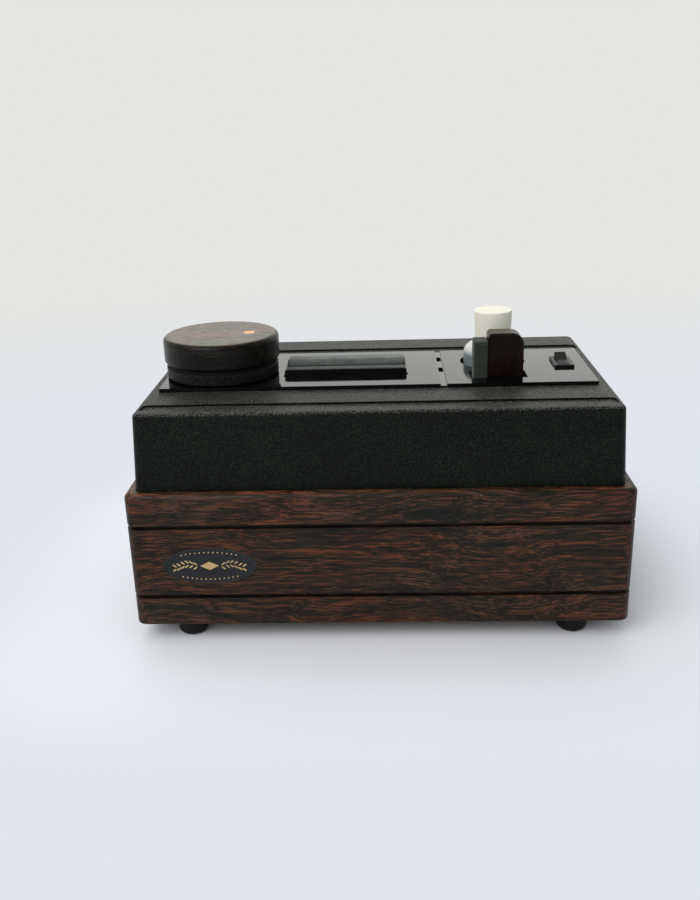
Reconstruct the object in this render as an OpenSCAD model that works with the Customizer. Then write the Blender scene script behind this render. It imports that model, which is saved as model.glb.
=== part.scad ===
// Record cleaning machine: a hand-turned platter with a lift-off turning disc, a velvet-lipped suction
// slot, a vacuum motor and a waste tank, in a grooved wooden base under a moulded housing.
// Millimetres, +Z up, +X to the right seen from the front, and the front faces -Y.
// The origin is on the floor, under the centre of the base.

/* [Base] */
// Width of the wooden base, left to right
base_w = 370; // [362:1:420]
// Depth of the wooden base, front to back
base_d = 236; // [232:1:280]
// Height of the boards
board_h = 105.5; // [104:0.5:130]
// Thickness of the boards
board_t = 15; // [13:0.5:16]
// Radius of the base's upright corners
base_corner_r = 8; // [5:0.5:12]
// Radius of the boards' top outer edge
board_top_r = 4; // [1:0.5:5]
// Radius of the boards' bottom outer edge
board_bottom_r = 1; // [0.5:0.5:5]
// Height of each groove round the base
groove_h = 3.2; // [2:0.1:5]
// Depth of each groove
groove_depth = 2.5; // [1:0.1:4]
// Height of the lower groove's middle above the boards' bottom edge
low_groove_z = 23.9; // [14:0.1:30]
// Height of the upper groove's middle above the boards' bottom edge
high_groove_z = 80.1; // [74:0.1:88]
// Thickness of the bottom panel
panel_t = 6; // [4:0.5:8]
// Width and height of the strips that hold the bottom panel
cleat_w = 18; // [16:0.5:20]
// Width and height of the rails that carry the housing
rail_w = 15; // [13:0.5:17]
// Gap between the ends of the strips and rails and the side boards
cleat_gap = 5; // [1:0.5:7]
// Distance between the bottom panel's screws, along each strip
panel_screw_pitch = 100; // [80:1:110]

/* [Feet] */
// Height of the rubber feet
foot_h = 14.5; // [11:0.5:20]
// Radius of the rubber feet
foot_r = 11.5; // [10:0.5:15]
// Radius of the feet's lower edge
foot_edge_r = 5; // [1:0.5:5]
// Distance from the base's side to the feet's middle
foot_inset_x = 39.5; // [30:0.5:60]
// Distance from the base's front or back to the feet's middle
foot_inset_y = 18; // [17.5:0.5:26]

/* [Badge] */
// Width of the oval badge
badge_w = 69; // [50:1:80]
// Height of the oval badge
badge_h = 29; // [20:1:36]
// Thickness of the badge, which is let in flush
badge_t = 1; // [0.6:0.1:2]
// Distance from the base's left side to the badge's middle
badge_inset = 59.5; // [45:0.5:120]
// Height of the badge's middle above the boards' bottom edge
badge_z = 49; // [44:0.5:56]

/* [Housing] */
// Width of bare wood left round the housing
ledge = 7.5; // [6:0.5:9]
// Height of the housing
housing_h = 58; // [55:0.5:66]
// How far each side leans in from its bottom to its top
housing_draft = 2.5; // [0:0.5:4]
// Thickness of the housing's sides
housing_t = 3.5; // [2.5:0.5:4]
// Thickness of the housing's top
housing_top_t = 4; // [3:0.5:5]
// Radius of the housing's upright corners
housing_corner_r = 6; // [4.5:0.5:10]
// Radius of the housing's top edge
housing_edge_r = 3; // [1:0.5:4]
// Depth of the two long recesses in the housing's top
recess_depth = 1.5; // [0.8:0.1:2]
// Width of the two long recesses
recess_w = 15; // [10:0.5:16]
// Rim between the recesses' ends and the housing's sides
recess_end_rim = 3.5; // [3.5:0.5:12]
// Rim between the front recess and the housing's front edge
recess_front_rim = 8.5; // [5:0.5:12]
// Band between the rear recess and the housing's rear edge
recess_rear_band = 34; // [28:0.5:38]
// Radius of the recesses' corners
recess_r = 4; // [1:0.5:5]
// Height of the rib along the front recess
recess_rib_h = 0.5; // [0.2:0.1:0.7]
// Width of the rib along the front recess
recess_rib_w = 6; // [2:0.5:8]
// Radius of the screw bosses
boss_r = 5; // [4:0.5:6]
// How far the screw bosses reach below the housing's edge, onto the rails
boss_drop = 4; // [2:0.5:6]

/* [Top plates] */
// Thickness of the two glossy plates
plate_t = 3; // [2:0.5:4]
// Rim between the plates' ends and the housing's sides
plate_end_rim = 8.5; // [6.5:0.5:9.5]
// Depth of the plates, front to back
plate_d = 101.5; // [98:0.5:106]
// Place of the plates' middle, front to back
plate_y = -1.5; // [-4:0.5:2]
// Place of the joint on the way from the slot block to the bottle's hole
joint_place = 0.62; // [0.5:0.01:0.68]
// Width of the joint between the plates
joint_w = 5; // [4.4:0.1:6]
// Thickness of the strip in the joint
strip_t = 1.5; // [1:0.1:2]
// Width of the two windows in the strip
window_w = 3.6; // [2:0.1:3.8]
// Length of the two windows in the strip
window_len = 13; // [6:0.5:14]
// Distance between the windows, middle to middle
window_pitch = 32; // [20:0.5:36]
// Place of the rear window's middle, front to back
window_y = 25.5; // [20:0.5:30]

/* [Platter] */
// Distance from the base's left side to the platter's axis
platter_inset = 61.7; // [61:0.1:64]
// Place of the platter's axis, front to back
platter_y = -8.7; // [-12:0.1:2]
// Radius of the platter
platter_r = 44.2; // [41:0.1:46]
// Thickness of the platter
platter_t = 7.85; // [6:0.05:10]
// Gap between the plate and the platter
platter_gap = 1.25; // [1:0.05:3]
// Radius of the platter's mat
mat_r = 43; // [30:0.5:44]
// Thickness of the platter's mat
mat_t = 1.8; // [1:0.1:3]
// Radius of the spindle's lower shaft
shaft_r = 5; // [4:0.1:6]
// Length of the shaft below the top of the bush
shaft_len = 36; // [34:0.5:44]
// Radius of the pin that a record's centre hole fits
pin_r = 3.6; // [3:0.05:3.65]
// Height of the pin above the mat
pin_h = 15; // [10:0.5:16]
// Outer radius of the bearing bush
bush_r = 9; // [8:0.1:10]
// Length of the bearing bush
bush_len = 27; // [20:0.5:28]
// Radius of the bush's flange
bush_flange_r = 14; // [11:0.5:15]
// Thickness of the bush's flange
bush_flange_t = 3; // [2:0.5:4]
// Height of the collar that keeps the shaft in its bush
collar_h = 6; // [4:0.5:7]

/* [Turning disc] */
// Radius of the turning disc
disc_r = 45.5; // [42:0.5:47]
// Height of the turning disc
disc_h = 19.8; // [17:0.1:26]
// Radius of the disc's top edge
disc_top_r = 4; // [1:0.5:6]
// Radius of the disc's bottom edge
disc_bottom_r = 1.5; // [0.5:0.5:3]
// Radius of the pad under the disc
pad_r = 42.5; // [30:0.5:43]
// Thickness of the pad under the disc
pad_t = 2; // [1:0.1:4]
// Radius of the marker dot
marker_r = 4.7; // [2:0.1:8]
// Thickness of the marker dot, which is let in flush
marker_t = 0.8; // [0.4:0.1:2]
// Distance from the disc's axis to the marker dot
marker_offset = 22.6; // [12:0.1:30]

/* [Suction slot] */
// Distance from the platter's axis to the slot block's middle
slot_reach = 98.5; // [97.3:0.1:101.3]
// Length of the slot block
slot_len = 95.8; // [90:0.1:97]
// Place of the slot block's front face
slot_front_y = -22.4; // [-24:0.1:-20]
// Depth of the slot block, front to back
slot_d = 28.8; // [26:0.1:32]
// Height of the slot block above the plates
slot_h = 4.5; // [3:0.1:6]
// Width of the slit
slit_w = 2.6; // [2:0.1:3.5]
// Distance from the block's front face to the slit
slit_setback = 10; // [8:0.1:12]
// Solid length left at each end of the slit
slit_end = 4; // [3:0.5:8]
// Thickness of the flat pile on the front lip
front_lip_t = 0.7; // [0.4:0.1:1.2]
// Height of the rear velvet lip above the block
velvet_h = 5.1; // [3:0.1:7]
// Radius of the rear lip's rounded top
velvet_r = 4; // [1:0.5:4.5]
// How far the block's stem reaches below the housing's top
stem_drop = 6; // [5:0.5:8]

/* [Duct and tank] */
// Thickness of the walls of the duct and the tank
tank_wall = 2.5; // [2:0.5:3]
// Depth of the duct under the housing's top
duct_h = 30; // [26:0.5:32]
// Width of the duct's flange
duct_flange = 4; // [3:0.5:5]
// Outer radius of the pipe stubs
pipe_r = 14; // [12:0.5:15]
// Length of the duct's downward stub
duct_stub = 20; // [18:0.5:22]
// Thickness of the hoses' walls
hose_t = 3; // [2:0.5:4]
// Distance from the platter's axis to the tank's left wall
tank_inset = 13.3; // [0:0.1:33]
// Gap between the tank and the fan's housing
tank_fan_gap = 30; // [30:0.5:34]
// Distance from the duct pipe's axis to the tank's front wall
tank_front_reach = 26; // [22:1:52]
// Gap between the tank and the rear strip
tank_rear_gap = 7; // [5:0.5:15]
// Height of the tank
tank_h = 77; // [70:0.5:80]
// Thickness of the tank's lid
lid_t = 3; // [2:0.5:4]
// Length of the stubs on the tank
tank_stub = 12; // [11:0.5:12.5]
// Distance from the tank's left wall to the drain spout's axis
drain_inset = 50; // [30:1:110]
// Height of the drain above the tank's underside
drain_z = 9.5; // [9:0.5:9.5]
// Outer radius of the drain spout
spout_r = 6; // [5:0.5:6.5]
// Radius of the drain spout's bore
spout_bore_r = 4; // [3:0.1:4.5]
// Radius of the drain spout's flange
spout_flange_r = 11; // [10.5:0.5:12]
// Depth of the pocket that the drain's flange lies in
spout_pocket = 6; // [5.5:0.5:7]

/* [Vacuum motor] */
// Place of the motor's axis, front to back
motor_y = 35; // [34:0.5:36]
// Height of the motor's axis
motor_z = 67.5; // [66:0.5:68.5]
// Radius of the fan housing
fan_housing_r = 44; // [42:0.5:44.5]
// Length of the fan housing
fan_housing_len = 32; // [28:0.5:34]
// Gap between the motor's end and the right board
motor_end_gap = 20; // [20:0.5:24]
// Radius of the fan wheel
fan_r = 40; // [34:0.5:40.5]
// Number of blades on the fan wheel
fan_blades = 9; // [6:1:14]
// Radius of the motor's can
can_r = 36; // [34:0.5:38]
// Length of the motor's can
can_len = 58; // [56:0.5:62]
// Thickness of the sheet of the can and the fan housing
can_t = 2; // [1.5:0.1:2.5]
// Radius of the armature's core
armature_r = 19.5; // [16:0.5:21]
// Radius of the motor's shaft
motor_shaft_r = 4; // [3:0.1:4.5]
// Outer radius of the motor's bearings
motor_bearing_r = 9.5; // [8:0.5:10]
// Width of the motor's bearings
motor_bearing_w = 7; // [5:0.5:8]
// Height of the rubber pads under the motor's bracket
motor_pad_h = 6; // [4:0.5:7]
// Thickness of the bracket's sheet
bracket_t = 2.5; // [2:0.1:3]

/* [Bottle] */
// Distance from the base's right side to the bottle's axis
bottle_inset = 91.5; // [90:0.1:93]
// Place of the bottle's axis, front to back
bottle_y = 13; // [12.5:0.1:16]
// Radius of the bottle
bottle_r = 23.2; // [20:0.1:24]
// Radius of the hole that the bottle stands in
bottle_hole_r = 26; // [25:0.1:26.3]
// Height of the bottle's shoulder above the plates
shoulder_rise = 7.5; // [4:0.5:12]
// Height of the domed shoulder
dome_h = 8.6; // [6:0.1:12]
// Gap between the fan's housing and the bottle's underside
bottle_gap = 4.2; // [3.6:0.1:14]
// Thickness of the bottle's wall
bottle_wall = 1.5; // [1:0.1:2]
// Outer radius of the bottle's neck
neck_r = 11.5; // [10:0.1:12]
// Radius of the cap at its bottom
cap_bottom_r = 14; // [13.4:0.1:14.5]
// Radius of the cap at its top
cap_top_r = 15.1; // [14:0.1:16]
// Height of the cap
cap_h = 26; // [18:0.5:30]
// Thickness of the cap's top
cap_top_t = 3; // [2:0.5:4]

/* [Brush] */
// Distance from the base's right side to the left face of the brush's handle
brush_inset = 100; // [99:0.1:101]
// Width of the brush's handle, left to right
brush_w = 27; // [24:0.1:28]
// Depth of the brush's handle, front to back
brush_d = 18.2; // [14:0.1:18.6]
// Front of the brush's handle
brush_front_y = -37.4; // [-38:0.1:-37]
// Height of the handle above the plates
brush_rise = 34; // [20:0.5:40]
// Length of the brush's handle
brush_len = 90; // [80:0.5:92]
// Radius of the handle's top right corner
brush_big_r = 9.5; // [4:0.5:12]
// Radius of the handle's top left corner
brush_small_r = 3; // [1:0.5:4]
// Width of the rounding along the handle's outline
brush_edge = 1.5; // [0.5:0.1:2]
// Thickness of the brush's pad
brush_pad_t = 11; // [8:0.1:11.4]
// Distance from the handle's top to the pad's top
pad_top_gap = 6; // [2:0.5:12]
// Distance from the handle's bottom to the pad's bottom
pad_bottom_gap = 4; // [1:0.5:10]
// Free space round the brush in its slot
brush_gap = 1; // [0.8:0.1:1.2]

/* [Switch] */
// Distance from the base's right side to the switch's middle
switch_inset = 37.2; // [36:0.1:42]
// Place of the switch's middle, front to back
switch_y = 1.7; // [-14:0.1:6]
// Width of the switch's bezel, left to right
bezel_w = 15.2; // [13:0.1:18]
// Length of the switch's bezel, front to back
bezel_len = 28.6; // [24:0.1:32]
// Height of the bezel above the plates
bezel_h = 2.1; // [1.5:0.1:3]
// Width of the bezel's rim at its sides
bezel_rim = 3; // [2.4:0.1:3.4]
// Width of the bezel's rim at its ends
bezel_end_rim = 1.5; // [1.4:0.1:2.5]
// Depth of the switch's case below the plates
case_drop = 22; // [18:0.5:24]
// Tilt of the rocker each way from level, in degrees
rocker_tilt = 11; // [6:0.5:12]

/* [Rear opening] */
// Width of the window in the rear board
rear_w = 120; // [110:0.5:124]
// Distance from the window to the right board
rear_inset = 18; // [14:0.5:28]
// Bottom of the window above the boards' bottom edge
rear_z0 = 30; // [29:0.5:32]
// Distance from the window's top to the rear rail
rear_top_gap = 12.5; // [9.5:0.5:16.5]
// Thickness of the metal rear panel
rear_panel_t = 2; // [1.5:0.1:3]
// How far the rear panel laps the wood at the window's left and right
rear_lap = 8; // [7:0.5:9]
// How far the rear panel laps the wood above and below the window
rear_lap_z = 4; // [3:0.5:5]
// Number of exhaust slits in the rear panel
vent_count = 9; // [5:1:9]
// Width of an exhaust slit
vent_w = 3.4; // [2:0.1:5]
// Length of the exhaust slits
vent_len = 30; // [20:0.5:34]
// Distance between the exhaust slits, middle to middle
vent_pitch = 8.5; // [6:0.1:9]
// Radius of the cable gland's bore
gland_bore_r = 3.6; // [3:0.1:4]
// Distance from the window's left side to the gland's middle
gland_inset = 14; // [12:0.5:16]

/* [Hidden] */
$fn = 64;
// Facets of the rounded shapes that are spanned over several others
hull_fn = 32;
// How far a cutting shape runs past what it cuts
cut = 1;
// Clearance between pieces that are screwed or glued together
slack = 0.1;
// Radial clearance of a shaft in its bearing
running = 0.06;
// Colours
wood_colour = [0.16, 0.08, 0.06];
plain_wood_colour = [0.62, 0.47, 0.3];
housing_colour = [0.12, 0.13, 0.12];
gloss_colour = [0.04, 0.04, 0.045];
velvet_colour = [0.36, 0.38, 0.39];
steel_colour = [0.6, 0.61, 0.62];
rubber_colour = [0.07, 0.07, 0.07];
// Levels, from the floor up
board_z = foot_h;
board_top = board_z + board_h;
panel_top = board_z + panel_t;
housing_top = board_top + housing_h;
housing_under = housing_top - housing_top_t;
plate_top = housing_top + plate_t;
boss_bottom = board_top - boss_drop;
// Inside of the wooden base
inner_w = base_w - 2 * board_t;
inner_d = base_d - 2 * board_t;
cleat_len = inner_w - 2 * cleat_gap;
// How deep the screws of the feet and the bottom panel go into the strips, and their pilot holes
strip_grip = 10;
pilot = strip_grip + 1;
// Housing, as half sizes at its bottom and its top
housing_w2 = base_w / 2 - ledge;
housing_d2 = base_d / 2 - ledge;
top_w2 = housing_w2 - housing_draft;
top_d2 = housing_d2 - housing_draft;
boss_x = inner_w / 2 - 10.5;
boss_y = inner_d / 2 - rail_w / 2;
// Places on the top, left to right
platter_x = -base_w / 2 + platter_inset;
slot_x = platter_x + slot_reach;
slot_x0 = slot_x - slot_len / 2;
slot_x1 = slot_x + slot_len / 2;
bottle_x = base_w / 2 - bottle_inset;
brush_x = base_w / 2 - brush_inset;
switch_x = base_w / 2 - switch_inset;
joint_x = slot_x1 + joint_place * (bottle_x - bottle_hole_r - slot_x1);
// Plates
plates_x0 = -top_w2 + plate_end_rim;
plates_x1 = top_w2 - plate_end_rim;
joint_x0 = joint_x - joint_w / 2;
joint_x1 = joint_x + joint_w / 2;
plate_y0 = plate_y - plate_d / 2;
plate_y1 = plate_y + plate_d / 2;
// Screws: radius of the shank, radius and height of the head
screw_r = 1.75;
screw_head_r = 3.3;
screw_head_h = 2;
// Platter stack, from the plates up
bush_top = plate_top + 0.3;
platter_z = plate_top + platter_gap;
mat_z = platter_z + platter_t;
seat_z = mat_z + mat_t;
disc_z = seat_z + pad_t;
disc_top = disc_z + disc_h;
pin_top = seat_z + pin_h;
shaft_bottom = bush_top - shaft_len;
bush_bottom = bush_top - bush_len;
// Suction slot
slot_y1 = slot_front_y + slot_d;
slit_y0 = slot_front_y + slit_setback;
slit_y1 = slit_y0 + slit_w;
slot_top = plate_top + slot_h;
stem_inset = 2.5;
stem_bottom = housing_under - stem_drop;
// Duct: its outer box clears the stem by its wall and a gap
duct_gap = 0.5;
duct_x0 = slot_x0 + stem_inset - duct_gap - tank_wall;
duct_x1 = slot_x1 - stem_inset + duct_gap + tank_wall;
duct_y0 = slot_front_y + stem_inset - duct_gap - tank_wall;
duct_y1 = slot_y1 - stem_inset + duct_gap + tank_wall;
duct_bottom = housing_under - duct_h;
duct_mid_y = (duct_y0 + duct_y1) / 2;
pipe_bore_r = pipe_r - tank_wall;
hose_bore_r = pipe_r + slack;
hose_r = hose_bore_r + hose_t;
hose_grip = 9;
// Tank
tank_x0 = platter_x + tank_inset;
fan_x = inner_w / 2 - motor_end_gap - can_len - fan_housing_len;
tank_x1 = fan_x - tank_fan_gap;
tank_y0 = duct_mid_y - tank_front_reach;
tank_y1 = inner_d / 2 - cleat_w - tank_rear_gap;
drain_x = tank_x0 + drain_inset;
tank_z = panel_top;
tank_top = tank_z + tank_h;
lid_top = tank_top + lid_t;
tank_mid_x = (tank_x0 + tank_x1) / 2;
tank_mid_y = (tank_y0 + tank_y1) / 2;
drain_height = tank_z + drain_z;
spout_end = base_d / 2 - spout_pocket;
spout_flange_t = 2;
plug_r = spout_bore_r - running;
// Motor
fan_end = fan_x + fan_housing_len;
can_end = fan_end + can_len;
can_bore_r = can_r - can_t;
bearing_boss_r = motor_bearing_r + 3;
front_bearing_x = fan_end + 0.5;
rear_bearing_x = can_end - can_t - motor_bearing_w - 0.5;
core_x = fan_end + 11;
core_len = 28;
commutator_x = core_x + core_len + 2;
commutator_len = 6.5;
commutator_r = 10;
pad_z = panel_top;
bracket_z = pad_z + motor_pad_h;
// Bottle
bottle_bottom = motor_z + fan_housing_r + bottle_gap;
shoulder_z = plate_top + shoulder_rise;
dome_top = shoulder_z + dome_h;
cap_z = dome_top + 0.1;
cap_top = cap_z + cap_h;
neck_top = cap_top - cap_top_t - 0.5;
well_t = 1.5;
well_floor = 2;
well_flange = 3.5;
// Line between the flanges of the bottle's well and the brush's well
wells_split = brush_front_y + brush_d + brush_gap + 2.2;
// Brush and its slot
brush_top = plate_top + brush_rise;
brush_bottom = brush_top - brush_len;
brush_rear_y = brush_front_y + brush_d;
brush_slot_x0 = brush_x - brush_pad_t - 2 * brush_gap;
brush_slot_x1 = brush_x + brush_w + 3.4;
brush_slot_y0 = brush_front_y - brush_gap;
brush_slot_y1 = brush_rear_y + brush_gap;
// Switch
case_w = bezel_w - 2 * 1.3;
case_len = bezel_len - 2 * 0.6;
case_bottom = plate_top - case_drop;
rocker_gap = 0.3;
rocker_end_h = 5.4;
rocker_round_r = 5;
rocker_w = bezel_w - 2 * bezel_rim - 2 * rocker_gap;
rocker_half = (bezel_len / 2 - bezel_end_rim - rocker_gap - rocker_end_h * sin(rocker_tilt))
    / cos(rocker_tilt);
rocker_axis_z = plate_top - 1;
// Rear window
window_x1 = inner_w / 2 - rear_inset;
window_x0 = window_x1 - rear_w;
window_z0 = board_z + rear_z0;
window_z1 = boss_bottom - rail_w - rear_top_gap;
window_mid_x = (window_x0 + window_x1) / 2;
window_mid_z = (window_z0 + window_z1) / 2;
rear_inner_y = base_d / 2 - board_t;
rear_screw_grip = 8;
rear_corner_r = 5;
gland_x = window_x0 + gland_inset;
vent_x0 = gland_x + 18;

// Shared shapes

module rounded_rect(w, d, r) {
    square([w - 2 * r, d], center = true);
    square([w, d - 2 * r], center = true);
    for (x = [-1, 1], y = [-1, 1])
        translate([x * (w / 2 - r), y * (d / 2 - r)])
            circle(r);
}

module rounded_block(w, d, h, r) {
    linear_extrude(h)
        rounded_rect(w, d, r);
}

// A box from its lowest corner to its highest
module box(low, high) {
    translate(low)
        cube(high - low);
}

// A screw that points up, its head's underside at the origin
module screw(length) {
    cylinder(r = screw_r, h = length - 2 * screw_r);
    translate([0, 0, length - 2 * screw_r])
        cylinder(r1 = screw_r, r2 = 0.3, h = 2 * screw_r);
    difference() {
        translate([0, 0, -screw_head_h])
            cylinder(r = screw_head_r, h = screw_head_h);
        for (a = [0, 90])
            rotate(a)
                translate([0, 0, -screw_head_h])
                    cube([0.6 * screw_head_r * 2, 0.8, 2], center = true);
    }
}

// The half section of a disc or foot, rounded at its bottom outer edge and its top outer edge
module edge_section(r, h, bottom_r, top_r) {
    translate([0, bottom_r])
        square([r, h - bottom_r - top_r]);
    square([r - bottom_r, h / 2]);
    translate([0, h / 2])
        square([r - top_r, h / 2]);
    translate([r - bottom_r, bottom_r])
        circle(bottom_r);
    translate([r - top_r, h - top_r])
        circle(top_r);
}

module tube(outer_r, inner_r, h) {
    difference() {
        cylinder(r = outer_r, h = h);
        translate([0, 0, -cut])
            cylinder(r = inner_r, h = h + 2 * cut);
    }
}

// Wooden base

// Outline of a board: distance in from the outer face, and height
function board_outline(depth) = concat(
    [for (a = [0:15:90]) [board_bottom_r * (1 - sin(a)), board_bottom_r * (1 - cos(a))]],
    groove_points(low_groove_z),
    groove_points(high_groove_z),
    [for (a = [0:15:90]) [board_top_r * (1 - cos(a)), board_h - board_top_r * (1 - sin(a))]],
    [[depth, board_h], [depth, 0]]);

function groove_points(z) = [
    [0, z - groove_h / 2],
    [groove_depth, z - groove_h / 2],
    [groove_depth, z + groove_h / 2],
    [0, z + groove_h / 2]];

// A mitred board with its outer face at y = 0, facing -Y
module board(length) {
    straight = length / 2 - base_corner_r;
    mitre = length / 2 - board_t;
    intersection() {
        translate([-straight, 0, 0])
            rotate([90, 0, 90])
                linear_extrude(2 * straight)
                    polygon(board_outline(board_t));
        translate([0, 0, -cut])
            linear_extrude(board_h + 2 * cut)
                polygon([[-straight, 0], [straight, 0], [straight, base_corner_r], [mitre, board_t],
                         [-mitre, board_t], [-straight, base_corner_r]]);
    }
    board_corner(straight);
    mirror([1, 0, 0])
        board_corner(straight);
    // Inside the wood, between the grooves: makes one piece of the straight part and its corners
    for (x = [-straight, straight])
        box([x - 1, base_corner_r - 2.5, low_groove_z + groove_h],
            [x + 1, base_corner_r - 1.5, high_groove_z - groove_h]);
}

// The half of a rounded corner that lies on one board's side of the mitre
module board_corner(x) {
    translate([x, base_corner_r, 0])
        rotate(-90)
            rotate_extrude(angle = 45)
                polygon([for (p = board_outline(base_corner_r)) [base_corner_r - p[0], p[1]]]);
}

module oval(w, h) {
    polygon([for (a = [0:5:355]) [w / 2 * cos(a), h / 2 * sin(a)]]);
}

// An oval plate in the front board's face
module badge_shape(w, h, t) {
    translate([-base_w / 2 + badge_inset, -base_d / 2 + t, board_z + badge_z])
        rotate([90, 0, 0])
            linear_extrude(t)
                oval(w, h);
}

module front_board() {
    color(wood_colour)
        difference() {
            translate([0, -base_d / 2, board_z])
                board(base_w);
            translate([0, -cut, 0])
                badge_shape(badge_w + 2 * slack, badge_h + 2 * slack, badge_t + cut);
        }
}

module rear_board() {
    color(wood_colour)
        difference() {
            translate([0, base_d / 2, board_z])
                rotate(180)
                    board(base_w);
            translate([window_mid_x, base_d / 2 + cut, window_mid_z])
                rotate([90, 0, 0])
                    rounded_block(rear_w, window_z1 - window_z0, board_t + 2 * cut, rear_corner_r);
            for (p = rear_screw_places())
                translate([p[0], rear_inner_y - cut, p[1]])
                    rotate([-90, 0, 0])
                        cylinder(r = screw_r + slack, h = rear_screw_grip + 1 + cut);
            translate([drain_x, base_d / 2 + cut, drain_height])
                rotate([90, 0, 0]) {
                    cylinder(r = spout_r + slack, h = board_t + 2 * cut);
                    cylinder(r = spout_flange_r + slack, h = spout_pocket + cut);
                }
        }
}

module left_board() {
    color(wood_colour)
        translate([-base_w / 2, 0, board_z])
            rotate(-90)
                board(base_d);
}

module right_board() {
    color(wood_colour)
        translate([base_w / 2, 0, board_z])
            rotate(90)
                board(base_d);
}

module cleat(side) {
    difference() {
        translate([-cleat_len / 2, side > 0 ? inner_d / 2 - cleat_w : -inner_d / 2, panel_top])
            cube([cleat_len, cleat_w, cleat_w]);
        for (x = foot_places_x())
            translate([x, side * (base_d / 2 - foot_inset_y), panel_top - cut])
                cylinder(r = screw_r + slack, h = pilot + cut);
        for (x = panel_screw_x())
            translate([x, side * panel_screw_y(), panel_top - cut])
                cylinder(r = screw_r + slack, h = pilot + cut);
    }
}

function foot_places_x() = [-base_w / 2 + foot_inset_x, base_w / 2 - foot_inset_x];
function panel_screw_x() = [-panel_screw_pitch, 0, panel_screw_pitch];
function panel_screw_y() = inner_d / 2 - cleat_w / 2;

module front_cleat() {
    color(plain_wood_colour)
        cleat(-1);
}

module rear_cleat() {
    color(plain_wood_colour)
        difference() {
            cleat(1);
            translate([drain_x, tank_y1, drain_height])
                rotate([-90, 0, 0])
                    cylinder(r = spout_r + slack, h = base_d);
        }
}

module rail(side) {
    difference() {
        translate([-cleat_len / 2, side > 0 ? inner_d / 2 - rail_w : -inner_d / 2, boss_bottom - rail_w])
            cube([cleat_len, rail_w, rail_w]);
        for (x = [-boss_x, boss_x])
            translate([x, side * boss_y, boss_bottom - rail_w - cut])
                cylinder(r = screw_r + slack, h = rail_w + 2 * cut);
    }
}

module front_rail() {
    color(plain_wood_colour)
        rail(-1);
}

module rear_rail() {
    color(plain_wood_colour)
        rail(1);
}

module bottom_panel() {
    color(plain_wood_colour)
        difference() {
            translate([0, 0, board_z + panel_t / 2])
                cube([inner_w - 2 * slack, inner_d - 2 * slack, panel_t], center = true);
            for (x = foot_places_x(), side = [-1, 1])
                translate([x, side * (base_d / 2 - foot_inset_y), board_z - cut])
                    cylinder(r = screw_r + slack, h = panel_t + 2 * cut);
            for (x = panel_screw_x(), side = [-1, 1])
                translate([x, side * panel_screw_y(), board_z - cut]) {
                    cylinder(r = screw_r + slack, h = panel_t + 2 * cut);
                    cylinder(r = screw_head_r + 0.3, h = screw_head_h + cut);
                }
        }
}

module panel_screws() {
    color(steel_colour)
        for (x = panel_screw_x(), side = [-1, 1])
            translate([x, side * panel_screw_y(), board_z + screw_head_h])
                screw(panel_t - screw_head_h + strip_grip);
}

// Height of the screw's seat inside a foot
foot_seat = 6;

module feet() {
    color(rubber_colour)
        for (x = foot_places_x(), side = [-1, 1])
            translate([x, side * (base_d / 2 - foot_inset_y), 0])
                difference() {
                    rotate_extrude()
                        edge_section(foot_r, foot_h, foot_edge_r, 0.5);
                    translate([0, 0, -cut])
                        cylinder(r = screw_head_r + 0.6, h = foot_seat + cut);
                    translate([0, 0, -cut])
                        cylinder(r = screw_r + slack, h = foot_h + 2 * cut);
                }
}

module foot_screws() {
    color(steel_colour)
        for (x = foot_places_x(), side = [-1, 1])
            translate([x, side * (base_d / 2 - foot_inset_y), foot_seat])
                screw(foot_h - foot_seat + panel_t + strip_grip - 1);
}

module badge_plate() {
    color([0.03, 0.03, 0.03])
        badge_shape(badge_w, badge_h, badge_t);
}

// Housing

// A block that leans in towards its top, rounded at its upright corners and its top edge
module housing_block(w2, d2, draft, h, corner_r, edge_r) {
    hull()
        for (x = [-1, 1], y = [-1, 1]) {
            translate([x * (w2 - corner_r), y * (d2 - corner_r), 0])
                cylinder(r = corner_r, h = 0.01, $fn = hull_fn);
            for (a = [0:30:90])
                translate([x * (w2 - draft - corner_r), y * (d2 - draft - corner_r), h - edge_r * (1 - sin(a)) - 0.01])
                    cylinder(r = corner_r - edge_r * (1 - cos(a)), h = 0.01, $fn = hull_fn);
        }
}

// A long recess in the housing's top, its middle at y
module long_recess(y) {
    translate([0, y, housing_top - recess_depth])
        rounded_block(2 * (top_w2 - recess_end_rim), recess_w, recess_depth + cut, recess_r);
}

front_recess_y = -top_d2 + recess_front_rim + recess_w / 2;
rear_recess_y = top_d2 - recess_rear_band - recess_w / 2;

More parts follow.
